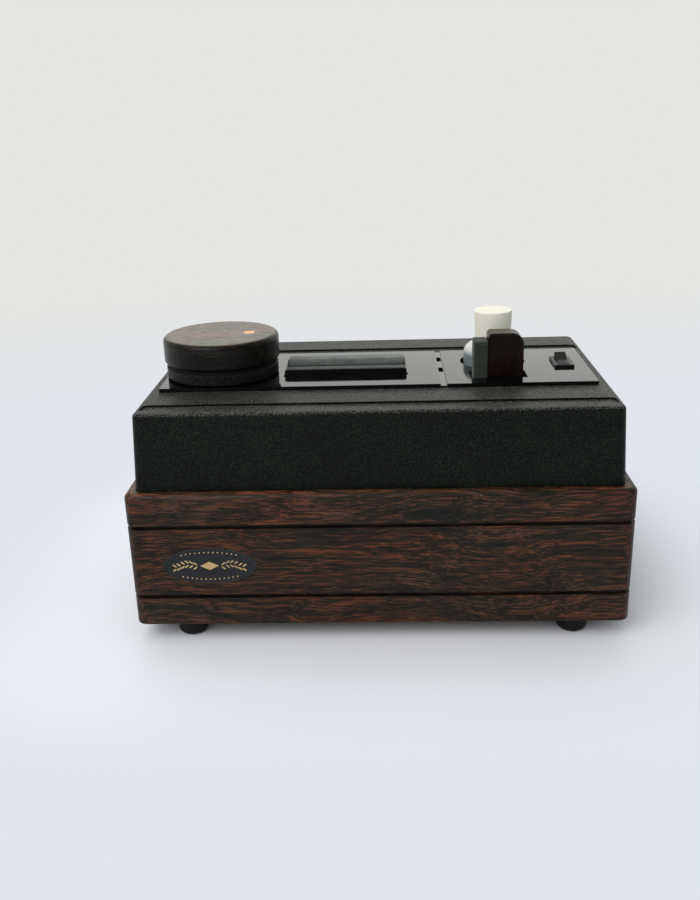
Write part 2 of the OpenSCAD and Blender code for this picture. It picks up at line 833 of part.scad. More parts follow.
module top_housing() {
    color(housing_colour)
        difference() {
            union() {
                difference() {
                    translate([0, 0, board_top])
                        housing_block(housing_w2, housing_d2, housing_draft, housing_h, housing_corner_r,
                                      housing_edge_r);
                    translate([0, 0, board_top - 0.02])
                        housing_block(housing_w2 - housing_t, housing_d2 - housing_t, housing_draft,
                                      housing_h - housing_top_t + 0.02, housing_corner_r - housing_t + 2.5, 1);
                    long_recess(front_recess_y);
                    long_recess(rear_recess_y);
                }
                translate([0, front_recess_y - (recess_w - recess_rib_w) / 2, housing_top - recess_depth - 0.2])
                    rounded_block(2 * (top_w2 - recess_end_rim), recess_rib_w, recess_rib_h + 0.2, 2);
                for (x = [-boss_x, boss_x], y = [-boss_y, boss_y])
                    translate([x, y, boss_bottom])
                        cylinder(r = boss_r, h = housing_under - boss_bottom + 0.5);
            }
            for (x = [-boss_x, boss_x], y = [-boss_y, boss_y])
                translate([x, y, boss_bottom - cut])
                    cylinder(r = screw_r + slack, h = 12 + cut);
            translate([platter_x, platter_y, housing_under - cut])
                cylinder(r = bush_r + slack, h = housing_top_t + 2 * cut);
            box([slot_x0 + stem_inset - slack, slot_front_y + stem_inset - slack, housing_under - cut],
                [slot_x1 - stem_inset + slack, slot_y1 - stem_inset + slack, housing_top + cut]);
            translate([bottle_x, bottle_y, housing_under - cut])
                cylinder(r = bottle_hole_r, h = housing_top_t + 2 * cut);
            box([brush_slot_x0, brush_slot_y0, housing_under - cut],
                [brush_slot_x1, brush_slot_y1, housing_top + cut]);
            switch_hole(housing_under, housing_top_t);
            strip_windows(housing_under, housing_top_t);
        }
}

module housing_screws() {
    color(steel_colour)
        for (x = [-boss_x, boss_x], y = [-boss_y, boss_y])
            translate([x, y, boss_bottom - rail_w])
                screw(rail_w + 10);
}

// Top plates

module switch_hole(z, t) {
    translate([switch_x, switch_y, z - cut])
        linear_extrude(t + 2 * cut)
            square([case_w + 2 * slack, case_len + 2 * slack], center = true);
}

module strip_windows(z, t) {
    for (y = [window_y, window_y - window_pitch])
        translate([joint_x, y, z + t / 2])
            cube([window_w, window_len, t + 2 * cut], center = true);
}

module left_plate() {
    color(gloss_colour)
        difference() {
            box([plates_x0, plate_y0, housing_top], [joint_x0, plate_y1, plate_top]);
            translate([platter_x, platter_y, housing_top - cut])
                cylinder(r = bush_r + slack, h = plate_t + 2 * cut);
            box([slot_x0 - slack, slot_front_y - slack, housing_top - cut],
                [slot_x1 + slack, slot_y1 + slack, plate_top + cut]);
        }
}

module right_plate() {
    color(gloss_colour)
        difference() {
            box([joint_x1, plate_y0, housing_top], [plates_x1, plate_y1, plate_top]);
            translate([bottle_x, bottle_y, housing_top - cut])
                cylinder(r = bottle_hole_r, h = plate_t + 2 * cut);
            box([brush_slot_x0, brush_slot_y0, housing_top - cut],
                [brush_slot_x1, brush_slot_y1, plate_top + cut]);
            switch_hole(housing_top, plate_t);
        }
}

module joint_strip() {
    color(gloss_colour)
        difference() {
            box([joint_x0 + slack, plate_y0, housing_top], [joint_x1 - slack, plate_y1, housing_top + strip_t]);
            strip_windows(housing_top, strip_t);
        }
}

// Suction slot

module slit(z0, z1) {
    box([slot_x0 + slit_end, slit_y0, z0], [slot_x1 - slit_end, slit_y1, z1]);
}

module slot_block() {
    color(gloss_colour)
        difference() {
            union() {
                box([slot_x0, slot_front_y, housing_top], [slot_x1, slot_y1, slot_top]);
                box([slot_x0 + stem_inset, slot_front_y + stem_inset, stem_bottom],
                    [slot_x1 - stem_inset, slot_y1 - stem_inset, housing_top]);
                for (x = [slot_x0 - 1, slot_x1 - 1])
                    box([x, slot_front_y, plate_top], [x + 2, slot_front_y + 4, plate_top + 0.8]);
            }
            slit(stem_bottom - cut, slot_top + cut);
            box([slot_x0 + stem_inset + 2, slit_y0 - 5, stem_bottom - cut],
                [slot_x1 - stem_inset - 2, slit_y1 + 5, housing_top - 2]);
        }
}

module front_lip() {
    color([0.55, 0.57, 0.56])
        box([slot_x0 + 1.2, slot_front_y + 0.5, slot_top], [slot_x1 - 1.2, slit_y0 - 0.4, slot_top + front_lip_t]);
}

// A raised pad of velvet with a rounded top and rounded ends
module velvet_lip() {
    w = slot_len - 1.4;
    d = slot_y1 - slit_y1 - 0.4;
    color(velvet_colour)
        translate([slot_x, slit_y1 + 0.2 + d / 2, slot_top])
            hull()
                for (x = [-1, 1], y = [-1, 1])
                    translate([x * (w / 2 - velvet_r), y * (d / 2 - velvet_r), 0]) {
                        cylinder(r = velvet_r, h = velvet_h - velvet_r, $fn = hull_fn);
                        for (a = [15:15:75])
                            translate([0, 0, velvet_h - velvet_r * (1 - sin(a)) - 0.01])
                                cylinder(r = velvet_r * cos(a), h = 0.01, $fn = hull_fn);
                        cylinder(r = velvet_r * cos(85), h = velvet_h, $fn = hull_fn);
                    }
}

// Duct and tank

module suction_duct() {
    color([0.1, 0.1, 0.11])
        difference() {
            union() {
                box([duct_x0, duct_y0, duct_bottom], [duct_x1, duct_y1, housing_under]);
                box([duct_x0 - duct_flange, duct_y0 - duct_flange, housing_under - tank_wall],
                    [duct_x1 + duct_flange, duct_y1 + duct_flange, housing_under]);
                translate([slot_x, duct_mid_y, duct_bottom - duct_stub])
                    cylinder(r = pipe_r, h = duct_stub + 1);
            }
            box([duct_x0 + tank_wall, duct_y0 + tank_wall, duct_bottom + tank_wall],
                [duct_x1 - tank_wall, duct_y1 - tank_wall, housing_under + cut]);
            translate([slot_x, duct_mid_y, duct_bottom - duct_stub - cut])
                cylinder(r = pipe_bore_r, h = duct_stub + tank_wall + 2 * cut);
        }
}

module duct_hose() {
    low = lid_top + tank_stub - hose_grip;
    high = duct_bottom - duct_stub + hose_grip;
    color(rubber_colour)
        translate([slot_x, duct_mid_y, low])
            tube(hose_r, hose_bore_r, high - low);
}

module waste_tank() {
    color([0.75, 0.76, 0.74])
        difference() {
            union() {
                box([tank_x0, tank_y0, tank_z], [tank_x1, tank_y1, tank_top]);
                translate([tank_x1 - 1, motor_y, motor_z])
                    rotate([0, 90, 0])
                        cylinder(r = pipe_r, h = tank_stub + 1);
            }
            box([tank_x0 + tank_wall, tank_y0 + tank_wall, tank_z + tank_wall],
                [tank_x1 - tank_wall, tank_y1 - tank_wall, tank_top + cut]);
            translate([tank_x1 - tank_wall - cut, motor_y, motor_z])
                rotate([0, 90, 0])
                    cylinder(r = pipe_bore_r, h = tank_stub + tank_wall + 2 * cut);
            translate([drain_x, tank_y1 + cut, drain_height])
                rotate([90, 0, 0])
                    cylinder(r = spout_r + slack, h = tank_wall + 2 * cut);
        }
}

module tank_lid() {
    color([0.2, 0.2, 0.21])
        difference() {
            union() {
                box([tank_x0, tank_y0, tank_top], [tank_x1, tank_y1, lid_top]);
                box([tank_x0 + tank_wall + slack, tank_y0 + tank_wall + slack, tank_top - 3],
                    [tank_x1 - tank_wall - slack, tank_y1 - tank_wall - slack, tank_top + 1]);
                translate([slot_x, duct_mid_y, lid_top - 1])
                    cylinder(r = pipe_r, h = tank_stub + 1);
            }
            translate([slot_x, duct_mid_y, tank_top - 3 - cut])
                cylinder(r = pipe_bore_r, h = lid_t + tank_stub + 3 + 2 * cut);
        }
}

module vacuum_hose() {
    low = tank_x1 + tank_stub - hose_grip;
    high = fan_x - tank_stub + hose_grip;
    color(rubber_colour)
        translate([low, motor_y, motor_z])
            rotate([0, 90, 0])
                tube(hose_r, hose_bore_r, high - low);
}

module drain_spout() {
    color([0.1, 0.1, 0.11])
        translate([drain_x, spout_end, drain_height])
            rotate([90, 0, 0])
                difference() {
                    union() {
                        cylinder(r = spout_r, h = spout_end - tank_y1 + tank_wall);
                        translate([0, 0, -spout_flange_t])
                            cylinder(r = spout_flange_r, h = spout_flange_t);
                    }
                    translate([0, 0, -spout_flange_t - cut])
                        cylinder(r = spout_bore_r, h = board_t + base_d / 4);
                }
}

module drain_plug() {
    color(rubber_colour)
        translate([drain_x, spout_end + spout_flange_t, drain_height])
            rotate([-90, 0, 0]) {
                translate([0, 0, -16])
                    cylinder(r = plug_r, h = 16);
                cylinder(r = spout_bore_r + 2.5, h = 1.5);
                translate([0, 0, 2.2])
                    cube([2, 2 * spout_bore_r, 2.6], center = true);
            }
}

// Vacuum motor, its axis along X

module along_motor(x) {
    translate([x, motor_y, motor_z])
        rotate([0, 90, 0])
            children();
}

module fan_housing() {
    color([0.55, 0.56, 0.57])
        difference() {
            union() {
                along_motor(fan_x)
                    cylinder(r = fan_housing_r, h = fan_housing_len);
                along_motor(fan_x - tank_stub)
                    cylinder(r = pipe_r, h = tank_stub + 1);
                along_motor(fan_end - 1)
                    cylinder(r = bearing_boss_r, h = motor_bearing_w + 2);
            }
            along_motor(fan_x + can_t)
                cylinder(r = fan_housing_r - can_t, h = fan_housing_len - 2 * can_t);
            along_motor(fan_x - tank_stub - cut)
                cylinder(r = pipe_bore_r, h = tank_stub + can_t + 2 * cut);
            along_motor(fan_end - can_t - cut)
                cylinder(r = motor_bearing_r + slack, h = motor_bearing_w + 12);
            for (a = [30:60:330])
                along_motor(fan_end - can_t - cut)
                    rotate(a)
                        translate([(bearing_boss_r + can_bore_r) / 2, 0, 0])
                            cylinder(r = 5, h = can_t + 2 * cut);
        }
}

module fan_wheel() {
    wheel_len = fan_housing_len - 2 * can_t - 8;
    color([0.7, 0.71, 0.72])
        along_motor(fan_x + can_t + 4)
            difference() {
                union() {
                    tube(fan_r, pipe_r + 1, 1.5);
                    translate([0, 0, wheel_len - 1.5])
                        cylinder(r = fan_r, h = 1.5);
                    translate([0, 0, 4])
                        cylinder(r = 9, h = wheel_len - 4);
                    for (i = [0:fan_blades - 1])
                        rotate(i * 360 / fan_blades)
                            translate([pipe_r + 3, -0.75, 1])
                                rotate(12)
                                    cube([fan_r - pipe_r - 5, 1.5, wheel_len - 2]);
                }
                translate([0, 0, -cut])
                    cylinder(r = motor_shaft_r + slack, h = wheel_len + 2 * cut);
            }
}

module motor_can() {
    color([0.42, 0.43, 0.45])
        difference() {
            union() {
                along_motor(fan_end)
                    tube(can_r, can_bore_r, can_len);
                along_motor(can_end - can_t)
                    cylinder(r = can_r - 1, h = can_t);
                along_motor(rear_bearing_x)
                    cylinder(r = bearing_boss_r, h = can_end - can_t - rear_bearing_x + 1);
            }
            along_motor(rear_bearing_x - cut)
                cylinder(r = motor_bearing_r + slack, h = motor_bearing_w + cut + 0.1);
            for (a = [22.5:45:337.5])
                along_motor(can_end - can_t - cut)
                    rotate(a)
                        translate([(bearing_boss_r + can_bore_r) / 2, 0, 0])
                            cylinder(r = 5, h = can_t + 2 * cut);
        }
}

module motor_stator() {
    color([0.3, 0.3, 0.32])
        along_motor(core_x)
            tube(can_bore_r - slack, armature_r + 0.7, core_len);
}

shaft_gap = 5;

module motor_armature() {
    shaft_start = fan_x + can_t + shaft_gap;
    shaft_end = rear_bearing_x + motor_bearing_w;
    color([0.45, 0.3, 0.2]) {
        along_motor(core_x)
            cylinder(r = armature_r, h = core_len);
        along_motor(core_x + core_len - 1)
            cylinder(r = commutator_r - 2, h = 4);
        along_motor(commutator_x)
            cylinder(r = commutator_r, h = commutator_len);
        along_motor(shaft_start)
            cylinder(r = motor_shaft_r, h = shaft_end - shaft_start);
    }
}

module motor_bearings() {
    color(steel_colour)
        for (x = [front_bearing_x, rear_bearing_x])
            along_motor(x)
                tube(motor_bearing_r, motor_shaft_r + running, motor_bearing_w);
}

carbon_w = 6;
carbon_gap = 0.6;
carbon_end_gap = 0.5;

module carbon_brushes() {
    color([0.15, 0.14, 0.13])
        for (side = [-1, 1])
            translate([commutator_x + commutator_len / 2, motor_y,
                       motor_z + side * (commutator_r + can_bore_r) / 2])
                cube([commutator_len - 2 * carbon_end_gap, carbon_w, can_bore_r - commutator_r - 2 * carbon_gap],
                     center = true);
}

bracket_x0 = fan_end + 4;
bracket_x1 = can_end - 2;
bracket_y = 34;

module motor_bracket() {
    color(steel_colour)
        difference() {
            union() {
                box([bracket_x0, motor_y - bracket_y, bracket_z],
                    [bracket_x1, motor_y + bracket_y, bracket_z + bracket_t]);
                for (x = [bracket_x0 + 8, bracket_x1 - 8 - bracket_t])
                    box([x, motor_y - bracket_y + 4, bracket_z], [x + bracket_t, motor_y + bracket_y - 4, motor_z - 12]);
            }
            along_motor(fan_end - cut)
                cylinder(r = can_r + slack, h = can_len + 2 * cut);
            for (x = [bracket_x0 + 4, bracket_x1 - 4], side = [-1, 1])
                translate([x, motor_y + side * (bracket_y - 6), bracket_z - cut])
                    cylinder(r = screw_r + slack, h = bracket_t + 2 * cut);
        }
}

module motor_pads() {
    color(rubber_colour)
        for (x = [bracket_x0 + 4, bracket_x1 - 4], side = [-1, 1])
            translate([x, motor_y + side * (bracket_y - 6), pad_z]) {
                cylinder(r = 5.5, h = motor_pad_h);
                cylinder(r = screw_r, h = motor_pad_h + bracket_t);
                translate([0, 0, motor_pad_h + bracket_t])
                    cylinder(r = 3, h = 1.5);
            }
}

// Platter and its bearing

module at_platter(z) {
    translate([platter_x, platter_y, z])
        children();
}

module bearing_bush() {
    color([0.72, 0.55, 0.25])
        at_platter(bush_bottom)
            difference() {
                union() {
                    cylinder(r = bush_r, h = bush_len);
                    translate([0, 0, housing_under - bush_bottom - bush_flange_t])
                        cylinder(r = bush_flange_r, h = bush_flange_t);
                }
                translate([0, 0, -cut])
                    cylinder(r = shaft_r + running, h = bush_len + 2 * cut);
            }
}

module thrust_washer() {
    color([0.85, 0.85, 0.8])
        at_platter(bush_top)
            tube(bush_r + 3, shaft_r + 0.3, platter_z - bush_top);
}

module spindle() {
    color(steel_colour)
        at_platter(0) {
            translate([0, 0, shaft_bottom])
                cylinder(r = shaft_r, h = mat_z - shaft_bottom);
            translate([0, 0, mat_z - 1])
                cylinder(r = pin_r, h = pin_top - pin_r - mat_z + 1);
            translate([0, 0, pin_top - pin_r])
                cylinder(r1 = pin_r, r2 = pin_r / 3, h = pin_r);
        }
}

module spindle_collar() {
    color(steel_colour)
        at_platter(bush_bottom - 0.3 - collar_h)
            tube(bush_r, shaft_r + 0.04, collar_h);
}

module platter() {
    color(housing_colour)
        at_platter(platter_z)
            difference() {
                rotate_extrude()
                    edge_section(platter_r, platter_t, 0.6, 0.6);
                translate([0, 0, -cut])
                    cylinder(r = shaft_r + 0.04, h = platter_t + 2 * cut);
                translate([0, 0, -cut])
                    tube(platter_r - 4, bush_r + 6, platter_t / 2 + cut);
            }
}

module platter_mat() {
    color([0.06, 0.06, 0.06])
        at_platter(mat_z)
            tube(mat_r, pin_r + 0.15, mat_t);
}

// Turning disc

module turning_disc() {
    color(wood_colour)
        difference() {
            at_platter(disc_z)
                rotate_extrude()
                    edge_section(disc_r, disc_h, disc_bottom_r, disc_top_r);
            at_platter(disc_z - cut)
                cylinder(r = pin_r + 0.15, h = pin_top + 1 - disc_z + cut);
            translate([platter_x + marker_offset, platter_y, disc_top - marker_t])
                cylinder(r = marker_r + slack, h = marker_t + cut);
        }
}

module disc_pad() {
    color([0.05, 0.05, 0.05])
        at_platter(seat_z)
            tube(pad_r, pin_r + 0.15, pad_t);
}

module disc_marker() {
    color([0.95, 0.6, 0.2])
        translate([platter_x + marker_offset, platter_y, disc_top - marker_t])
            cylinder(r = marker_r, h = marker_t);
}

// Bottle

// The dome's quarter curve, from the wall's radius at the shoulder to the neck's radius at the top
function dome_points(wall_r, top_r, z, h) =
    [for (a = [0:10:90]) [top_r + (wall_r - top_r) * cos(a), z + h * sin(a)]];

module bottle_body() {
    heel = 3;
    inner_r = bottle_r - bottle_wall;
    bore_r = neck_r - 2;
    color([0.86, 0.9, 0.9])
        translate([bottle_x, bottle_y, 0])
            rotate_extrude()
                polygon(concat(
                    [[0, bottle_bottom], [bottle_r - heel, bottle_bottom]],
                    [for (a = [15:15:75]) [bottle_r - heel * (1 - sin(a)), bottle_bottom + heel * (1 - cos(a))]],
                    [[bottle_r, bottle_bottom + heel]],
                    dome_points(bottle_r, cap_bottom_r, shoulder_z, dome_h),
                    [[neck_r, dome_top], [neck_r, neck_top], [bore_r, neck_top],
                     [bore_r, dome_top - bottle_wall]],
                    [for (i = [8:-1:0]) dome_points(inner_r, bore_r, shoulder_z, dome_h - bottle_wall)[i]],
                    [[inner_r, bottle_bottom + heel], [inner_r - heel + 1, bottle_bottom + 2],
                     [0, bottle_bottom + 2]]));
}

module bottle_cap() {
    edge = 0.8;
    color([0.93, 0.91, 0.8])
        translate([bottle_x, bottle_y, 0])
            rotate_extrude()
                polygon([[neck_r + 0.3, cap_z], [cap_bottom_r, cap_z], [cap_top_r, cap_top - edge],
                         [cap_top_r - 0.3 * edge, cap_top - 0.3 * edge], [cap_top_r - edge, cap_top],
                         [0, cap_top], [0, cap_top - cap_top_t], [neck_r + 0.3, cap_top - cap_top_t]]);
}

module bottle_well() {
    low = bottle_bottom - well_floor;
    reach = bottle_hole_r + well_t + well_flange;
    color([0.08, 0.08, 0.08])
        translate([bottle_x, bottle_y, 0])
            difference() {
                union() {
                    translate([0, 0, low])
                        cylinder(r = bottle_hole_r + well_t, h = housing_under - low);
                    intersection() {
                        translate([0, 0, housing_under - well_floor])
                            cylinder(r = reach, h = well_floor);
                        translate([-reach, wells_split + slack - bottle_y, 0])
                            cube([2 * reach, 2 * reach, housing_top]);
                    }
                }
                translate([0, 0, bottle_bottom])
                    cylinder(r = bottle_hole_r, h = housing_top);
            }
}

// Brush

// Outline of the handle, seen from the front, made smaller all round by inset
module brush_outline(inset) {
    w = brush_w - 2 * inset;
    h = brush_len - 2 * inset;
    big = brush_big_r - inset;
    small = max(brush_small_r - inset, 0.5);
    translate([inset, inset]) {
        square([w, h - max(big, small)]);
        translate([small, 0])
            square([w - big - small, h]);
        square([w - big, h - small]);
        translate([small, h - small])
            circle(small, $fn = hull_fn);
        translate([w - big, h - big])
            circle(big, $fn = hull_fn);
    }
}

module brush_handle() {
    color([0.2, 0.06, 0.04])
        translate([brush_x, brush_rear_y, brush_bottom])
            rotate([90, 0, 0])
                hull() {
                    linear_extrude(brush_d)
                        brush_outline(brush_edge);
                    translate([0, 0, brush_edge])
                        linear_extrude(brush_d - 2 * brush_edge)
                            brush_outline(0);
                }
}

module brush_pad() {
    color(velvet_colour)
        box([brush_x - brush_pad_t, brush_front_y + 0.6, brush_bottom + pad_bottom_gap],
            [brush_x, brush_rear_y - 0.6, brush_top - pad_top_gap]);
}

module brush_well() {
    low = brush_bottom - well_floor;
    color([0.08, 0.08, 0.08])
        difference() {
            union() {
                box([brush_slot_x0 - well_t, brush_slot_y0 - well_t, low],
                    [brush_slot_x1 + well_t, brush_slot_y1 + well_t, housing_under]);
                box([brush_slot_x0 - well_flange, brush_slot_y0 - well_flange, housing_under - well_floor],
                    [brush_slot_x1 + well_flange, wells_split - slack, housing_under]);
            }
            box([brush_slot_x0, brush_slot_y0, brush_bottom],
                [brush_slot_x1, brush_slot_y1, housing_under + cut]);
        }
}

// Switch

module switch_body() {
    cavity_z = plate_top - 12;
    color([0.03, 0.03, 0.03])
        difference() {
            union() {
                translate([switch_x, switch_y, plate_top])
                    linear_extrude(bezel_h)
                        square([bezel_w, bezel_len], center = true);
                translate([switch_x, switch_y, case_bottom])
                    linear_extrude(case_drop)
                        square([case_w, case_len], center = true);
            }
            translate([switch_x, switch_y, cavity_z])
                linear_extrude(bezel_h + 12 + cut)
                    square([bezel_w - 2 * bezel_rim, bezel_len - 2 * bezel_end_rim], center = true);
        }
}

// Side view of the rocker when level: a shallow V on top, round about its axis underneath
module rocker_side() {
    polygon([[-rocker_half, rocker_end_h], [-rocker_half + 1, rocker_end_h + 0.3], [0, rocker_end_h - 1.7],
             [rocker_half - 1, rocker_end_h + 0.3], [rocker_half, rocker_end_h],
             [rocker_half - 1, rocker_end_h - 3.5], [rocker_round_r - 1, 0],
             [1 - rocker_round_r, 0], [1 - rocker_half, rocker_end_h - 3.5]]);
    difference() {
        circle(rocker_round_r);
        translate([-rocker_round_r - cut, 0])
            square([2 * (rocker_round_r + cut), rocker_round_r + cut]);
    }
}

module switch_rocker() {
    color([0.05, 0.05, 0.05])
        translate([switch_x - rocker_w / 2, switch_y, rocker_axis_z])
            rotate([rocker_tilt, 0, 0])
                rotate([90, 0, 90])
                    linear_extrude(rocker_w)
                        rocker_side();
}

// Rear opening

module rear_panel() {
    color(steel_colour)
        difference() {
            box([window_x0 - rear_lap, rear_inner_y - rear_panel_t, window_z0 - rear_lap_z],
                [window_x1 + rear_lap, rear_inner_y, window_z1 + rear_lap_z]);
            translate([gland_x, rear_inner_y + cut, window_mid_z])
                rotate([90, 0, 0])
                    cylinder(r = gland_bore_r + 4 + slack, h = rear_panel_t + 2 * cut);
            for (i = [0:vent_count - 1])
                translate([vent_x0 + i * vent_pitch, rear_inner_y - rear_panel_t / 2, window_mid_z])
                    cube([vent_w, rear_panel_t + 2 * cut, vent_len], center = true);
            for (p = rear_screw_places())
                translate([p[0], rear_inner_y + cut, p[1]])
                    rotate([90, 0, 0])
                        cylinder(r = screw_r + slack, h = rear_panel_t + 2 * cut);
        }
}

// The rear panel's screws go through its left and right laps
function rear_screw_places() = [
    for (x = [window_x0 - rear_lap / 2, window_x1 + rear_lap / 2],
         z = [window_z0 + rear_corner_r, window_z1 - rear_corner_r]) [x, z]];

module rear_panel_screws() {
    color(steel_colour)
        for (p = rear_screw_places())
            translate([p[0], rear_inner_y - rear_panel_t, p[1]])
                rotate([-90, 0, 0])
                    screw(rear_panel_t + rear_screw_grip);
}

gland_flange_w = 6;
gland_flange_h = 3;
gland_wall = 4;
gland_lap = 1;
gland_back = 5;
gland_end = 10;
gland_nut_w = 7;
gland_nut_h = 4;

module cable_gland() {
    color(rubber_colour)
        translate([gland_x, rear_inner_y, window_mid_z])
            rotate([-90, 0, 0])
                difference() {
                    union() {
                        cylinder(r = gland_bore_r + gland_flange_w, h = gland_flange_h);
                        translate([0, 0, gland_flange_h - gland_lap])
                            cylinder(r1 = gland_bore_r + gland_wall - 0.5, r2 = gland_bore_r + gland_wall / 2,
                                     h = gland_end - gland_flange_h + gland_lap);
                        translate([0, 0, -rear_panel_t - gland_back])
                            cylinder(r = gland_bore_r + gland_wall, h = rear_panel_t + gland_back + gland_lap);
                        translate([0, 0, -rear_panel_t - gland_nut_h])
                            cylinder(r = gland_bore_r + gland_nut_w, h = gland_nut_h, $fn = 6);
                    }
                    translate([0, 0, -rear_panel_t - gland_back - cut])
                        cylinder(r = gland_bore_r, h = rear_panel_t + gland_back + gland_end + 2 * cut);
                }
}

// Terminal block and wires

block_y = inner_d / 2 - cleat_w + 2;
block_z = panel_top + cleat_w;

block_len = 24;
block_w = 12;
block_h = 8;
block_pitch = 7.5;
block_hole_r = 1.8;

module terminal_block() {
    color([0.85, 0.85, 0.82])
        difference() {
            translate([gland_x - block_len / 2, block_y, block_z])
                cube([block_len, block_w, block_h]);
            for (i = [-1:1])
                translate([gland_x + i * block_pitch, block_y + block_w / 2, block_z + block_h / 2])
                    cylinder(r = block_hole_r, h = block_h);
        }
}

wire_r = 2;

// A wire along straight stretches, rounded at its bends
module wire(points) {
    for (i = [0:len(points) - 2]) {
        step = points[i + 1] - points[i];
        length = norm(step);
        translate(points[i])
            rotate([0, acos(step[2] / length), atan2(step[1], step[0])])
                cylinder(r = wire_r, h = length);
    }
    for (i = [1:len(points) - 2])
        translate(points[i])
            sphere(r = wire_r);
}

module wiring() {
    front_y = block_y - 7;
    high_z = board_top + 2;
    case_y = switch_y + case_len / 2 - 5;
    lead_y = switch_y - 5;
    lead_x = can_end + 7;
    run_z = case_bottom - 7;
    entry = can_r / 2;
    color([0.5, 0.1, 0.08]) {
        wire([[gland_x, block_y, block_z + 4], [gland_x, front_y, block_z + 4], [gland_x, front_y, high_z],
              [switch_x, front_y, high_z], [switch_x, front_y, run_z],
              [switch_x, case_y, run_z], [switch_x, case_y, case_bottom]]);
        wire([[switch_x, lead_y, case_bottom], [switch_x, lead_y, run_z], [lead_x, lead_y, run_z],
              [lead_x, lead_y, motor_z + entry], [lead_x, motor_y - entry, motor_z + entry],
              [can_end, motor_y - entry, motor_z + entry]]);
    }
}

front_board();
rear_board();
left_board();
right_board();
front_cleat();
rear_cleat();
front_rail();
rear_rail();
bottom_panel();
panel_screws();
feet();
foot_screws();
badge_plate();
top_housing();
housing_screws();
left_plate();
right_plate();
joint_strip();
slot_block();
front_lip();
velvet_lip();
suction_duct();
duct_hose();
waste_tank();
tank_lid();
vacuum_hose();
drain_spout();
drain_plug();
fan_housing();
fan_wheel();
motor_can();
motor_stator();
motor_armature();
motor_bearings();
carbon_brushes();
motor_bracket();
motor_pads();
bearing_bush();
thrust_washer();
spindle();
spindle_collar();
platter();
platter_mat();
turning_disc();
disc_pad();
disc_marker();
bottle_body();
bottle_cap();
bottle_well();
brush_handle();
brush_pad();
brush_well();
switch_body();
switch_rocker();
rear_panel();
rear_panel_screws();
cable_gland();
terminal_block();
wiring();
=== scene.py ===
"""Looks of the record cleaning machine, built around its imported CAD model. Metres, +Z up, front at -Y."""
import math

import bmesh
import bpy
from mathutils import Matrix, Vector, noise


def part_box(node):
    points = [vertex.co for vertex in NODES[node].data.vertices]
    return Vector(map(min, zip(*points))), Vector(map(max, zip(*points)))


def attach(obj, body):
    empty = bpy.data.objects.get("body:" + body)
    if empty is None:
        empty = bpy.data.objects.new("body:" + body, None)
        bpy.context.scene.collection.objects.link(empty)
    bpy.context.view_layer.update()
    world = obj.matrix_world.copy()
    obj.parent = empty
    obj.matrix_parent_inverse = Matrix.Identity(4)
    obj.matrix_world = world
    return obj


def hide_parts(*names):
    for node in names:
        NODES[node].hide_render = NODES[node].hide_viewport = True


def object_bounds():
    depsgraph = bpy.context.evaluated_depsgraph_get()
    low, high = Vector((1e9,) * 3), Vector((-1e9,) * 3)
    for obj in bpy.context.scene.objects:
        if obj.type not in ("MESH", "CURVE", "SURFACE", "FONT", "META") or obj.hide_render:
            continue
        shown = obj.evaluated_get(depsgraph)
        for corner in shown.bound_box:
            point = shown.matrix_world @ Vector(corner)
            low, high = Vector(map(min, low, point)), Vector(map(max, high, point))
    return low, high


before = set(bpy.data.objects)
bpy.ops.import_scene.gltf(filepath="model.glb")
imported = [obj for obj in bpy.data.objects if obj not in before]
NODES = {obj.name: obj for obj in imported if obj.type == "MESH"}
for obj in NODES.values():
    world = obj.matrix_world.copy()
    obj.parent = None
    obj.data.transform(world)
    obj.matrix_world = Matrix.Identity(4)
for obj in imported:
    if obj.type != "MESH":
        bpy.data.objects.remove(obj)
MM = 0.001
cad_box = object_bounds()


# Camera, at the photograph's viewing angle: its place in metres, its turn in degrees

CAMERA_PLACE = (0.00839, -0.74396, 0.38112)
YAW, PITCH, ROLL = -2.504, 20.008, 1.750
FOCAL_PX, IMAGE_W = 950.0, 700
SENSOR_W = 36.0


def make_camera():
    yaw, pitch, roll = (math.radians(a) for a in (YAW, PITCH, ROLL))
    forward = Vector((math.sin(yaw) * math.cos(pitch), math.cos(yaw) * math.cos(pitch), -math.sin(pitch)))
    level = Vector((math.cos(yaw), -math.sin(yaw), 0))
    below = forward.cross(level)
    right = math.cos(roll) * level + math.sin(roll) * below
    down = -math.sin(roll) * level + math.cos(roll) * below
    data = bpy.data.cameras.new("camera")
    data.sensor_fit = "HORIZONTAL"
    data.sensor_width = SENSOR_W
    data.lens = FOCAL_PX / IMAGE_W * SENSOR_W
    data.clip_start, data.clip_end = 0.01, 50
    camera = bpy.data.objects.new("camera", data)
    turn = Matrix((right, -down, -forward)).transposed().to_4x4()
    camera.matrix_world = Matrix.Translation(CAMERA_PLACE) @ turn
    bpy.context.scene.collection.objects.link(camera)
    bpy.context.scene.camera = camera


# A small builder for node materials

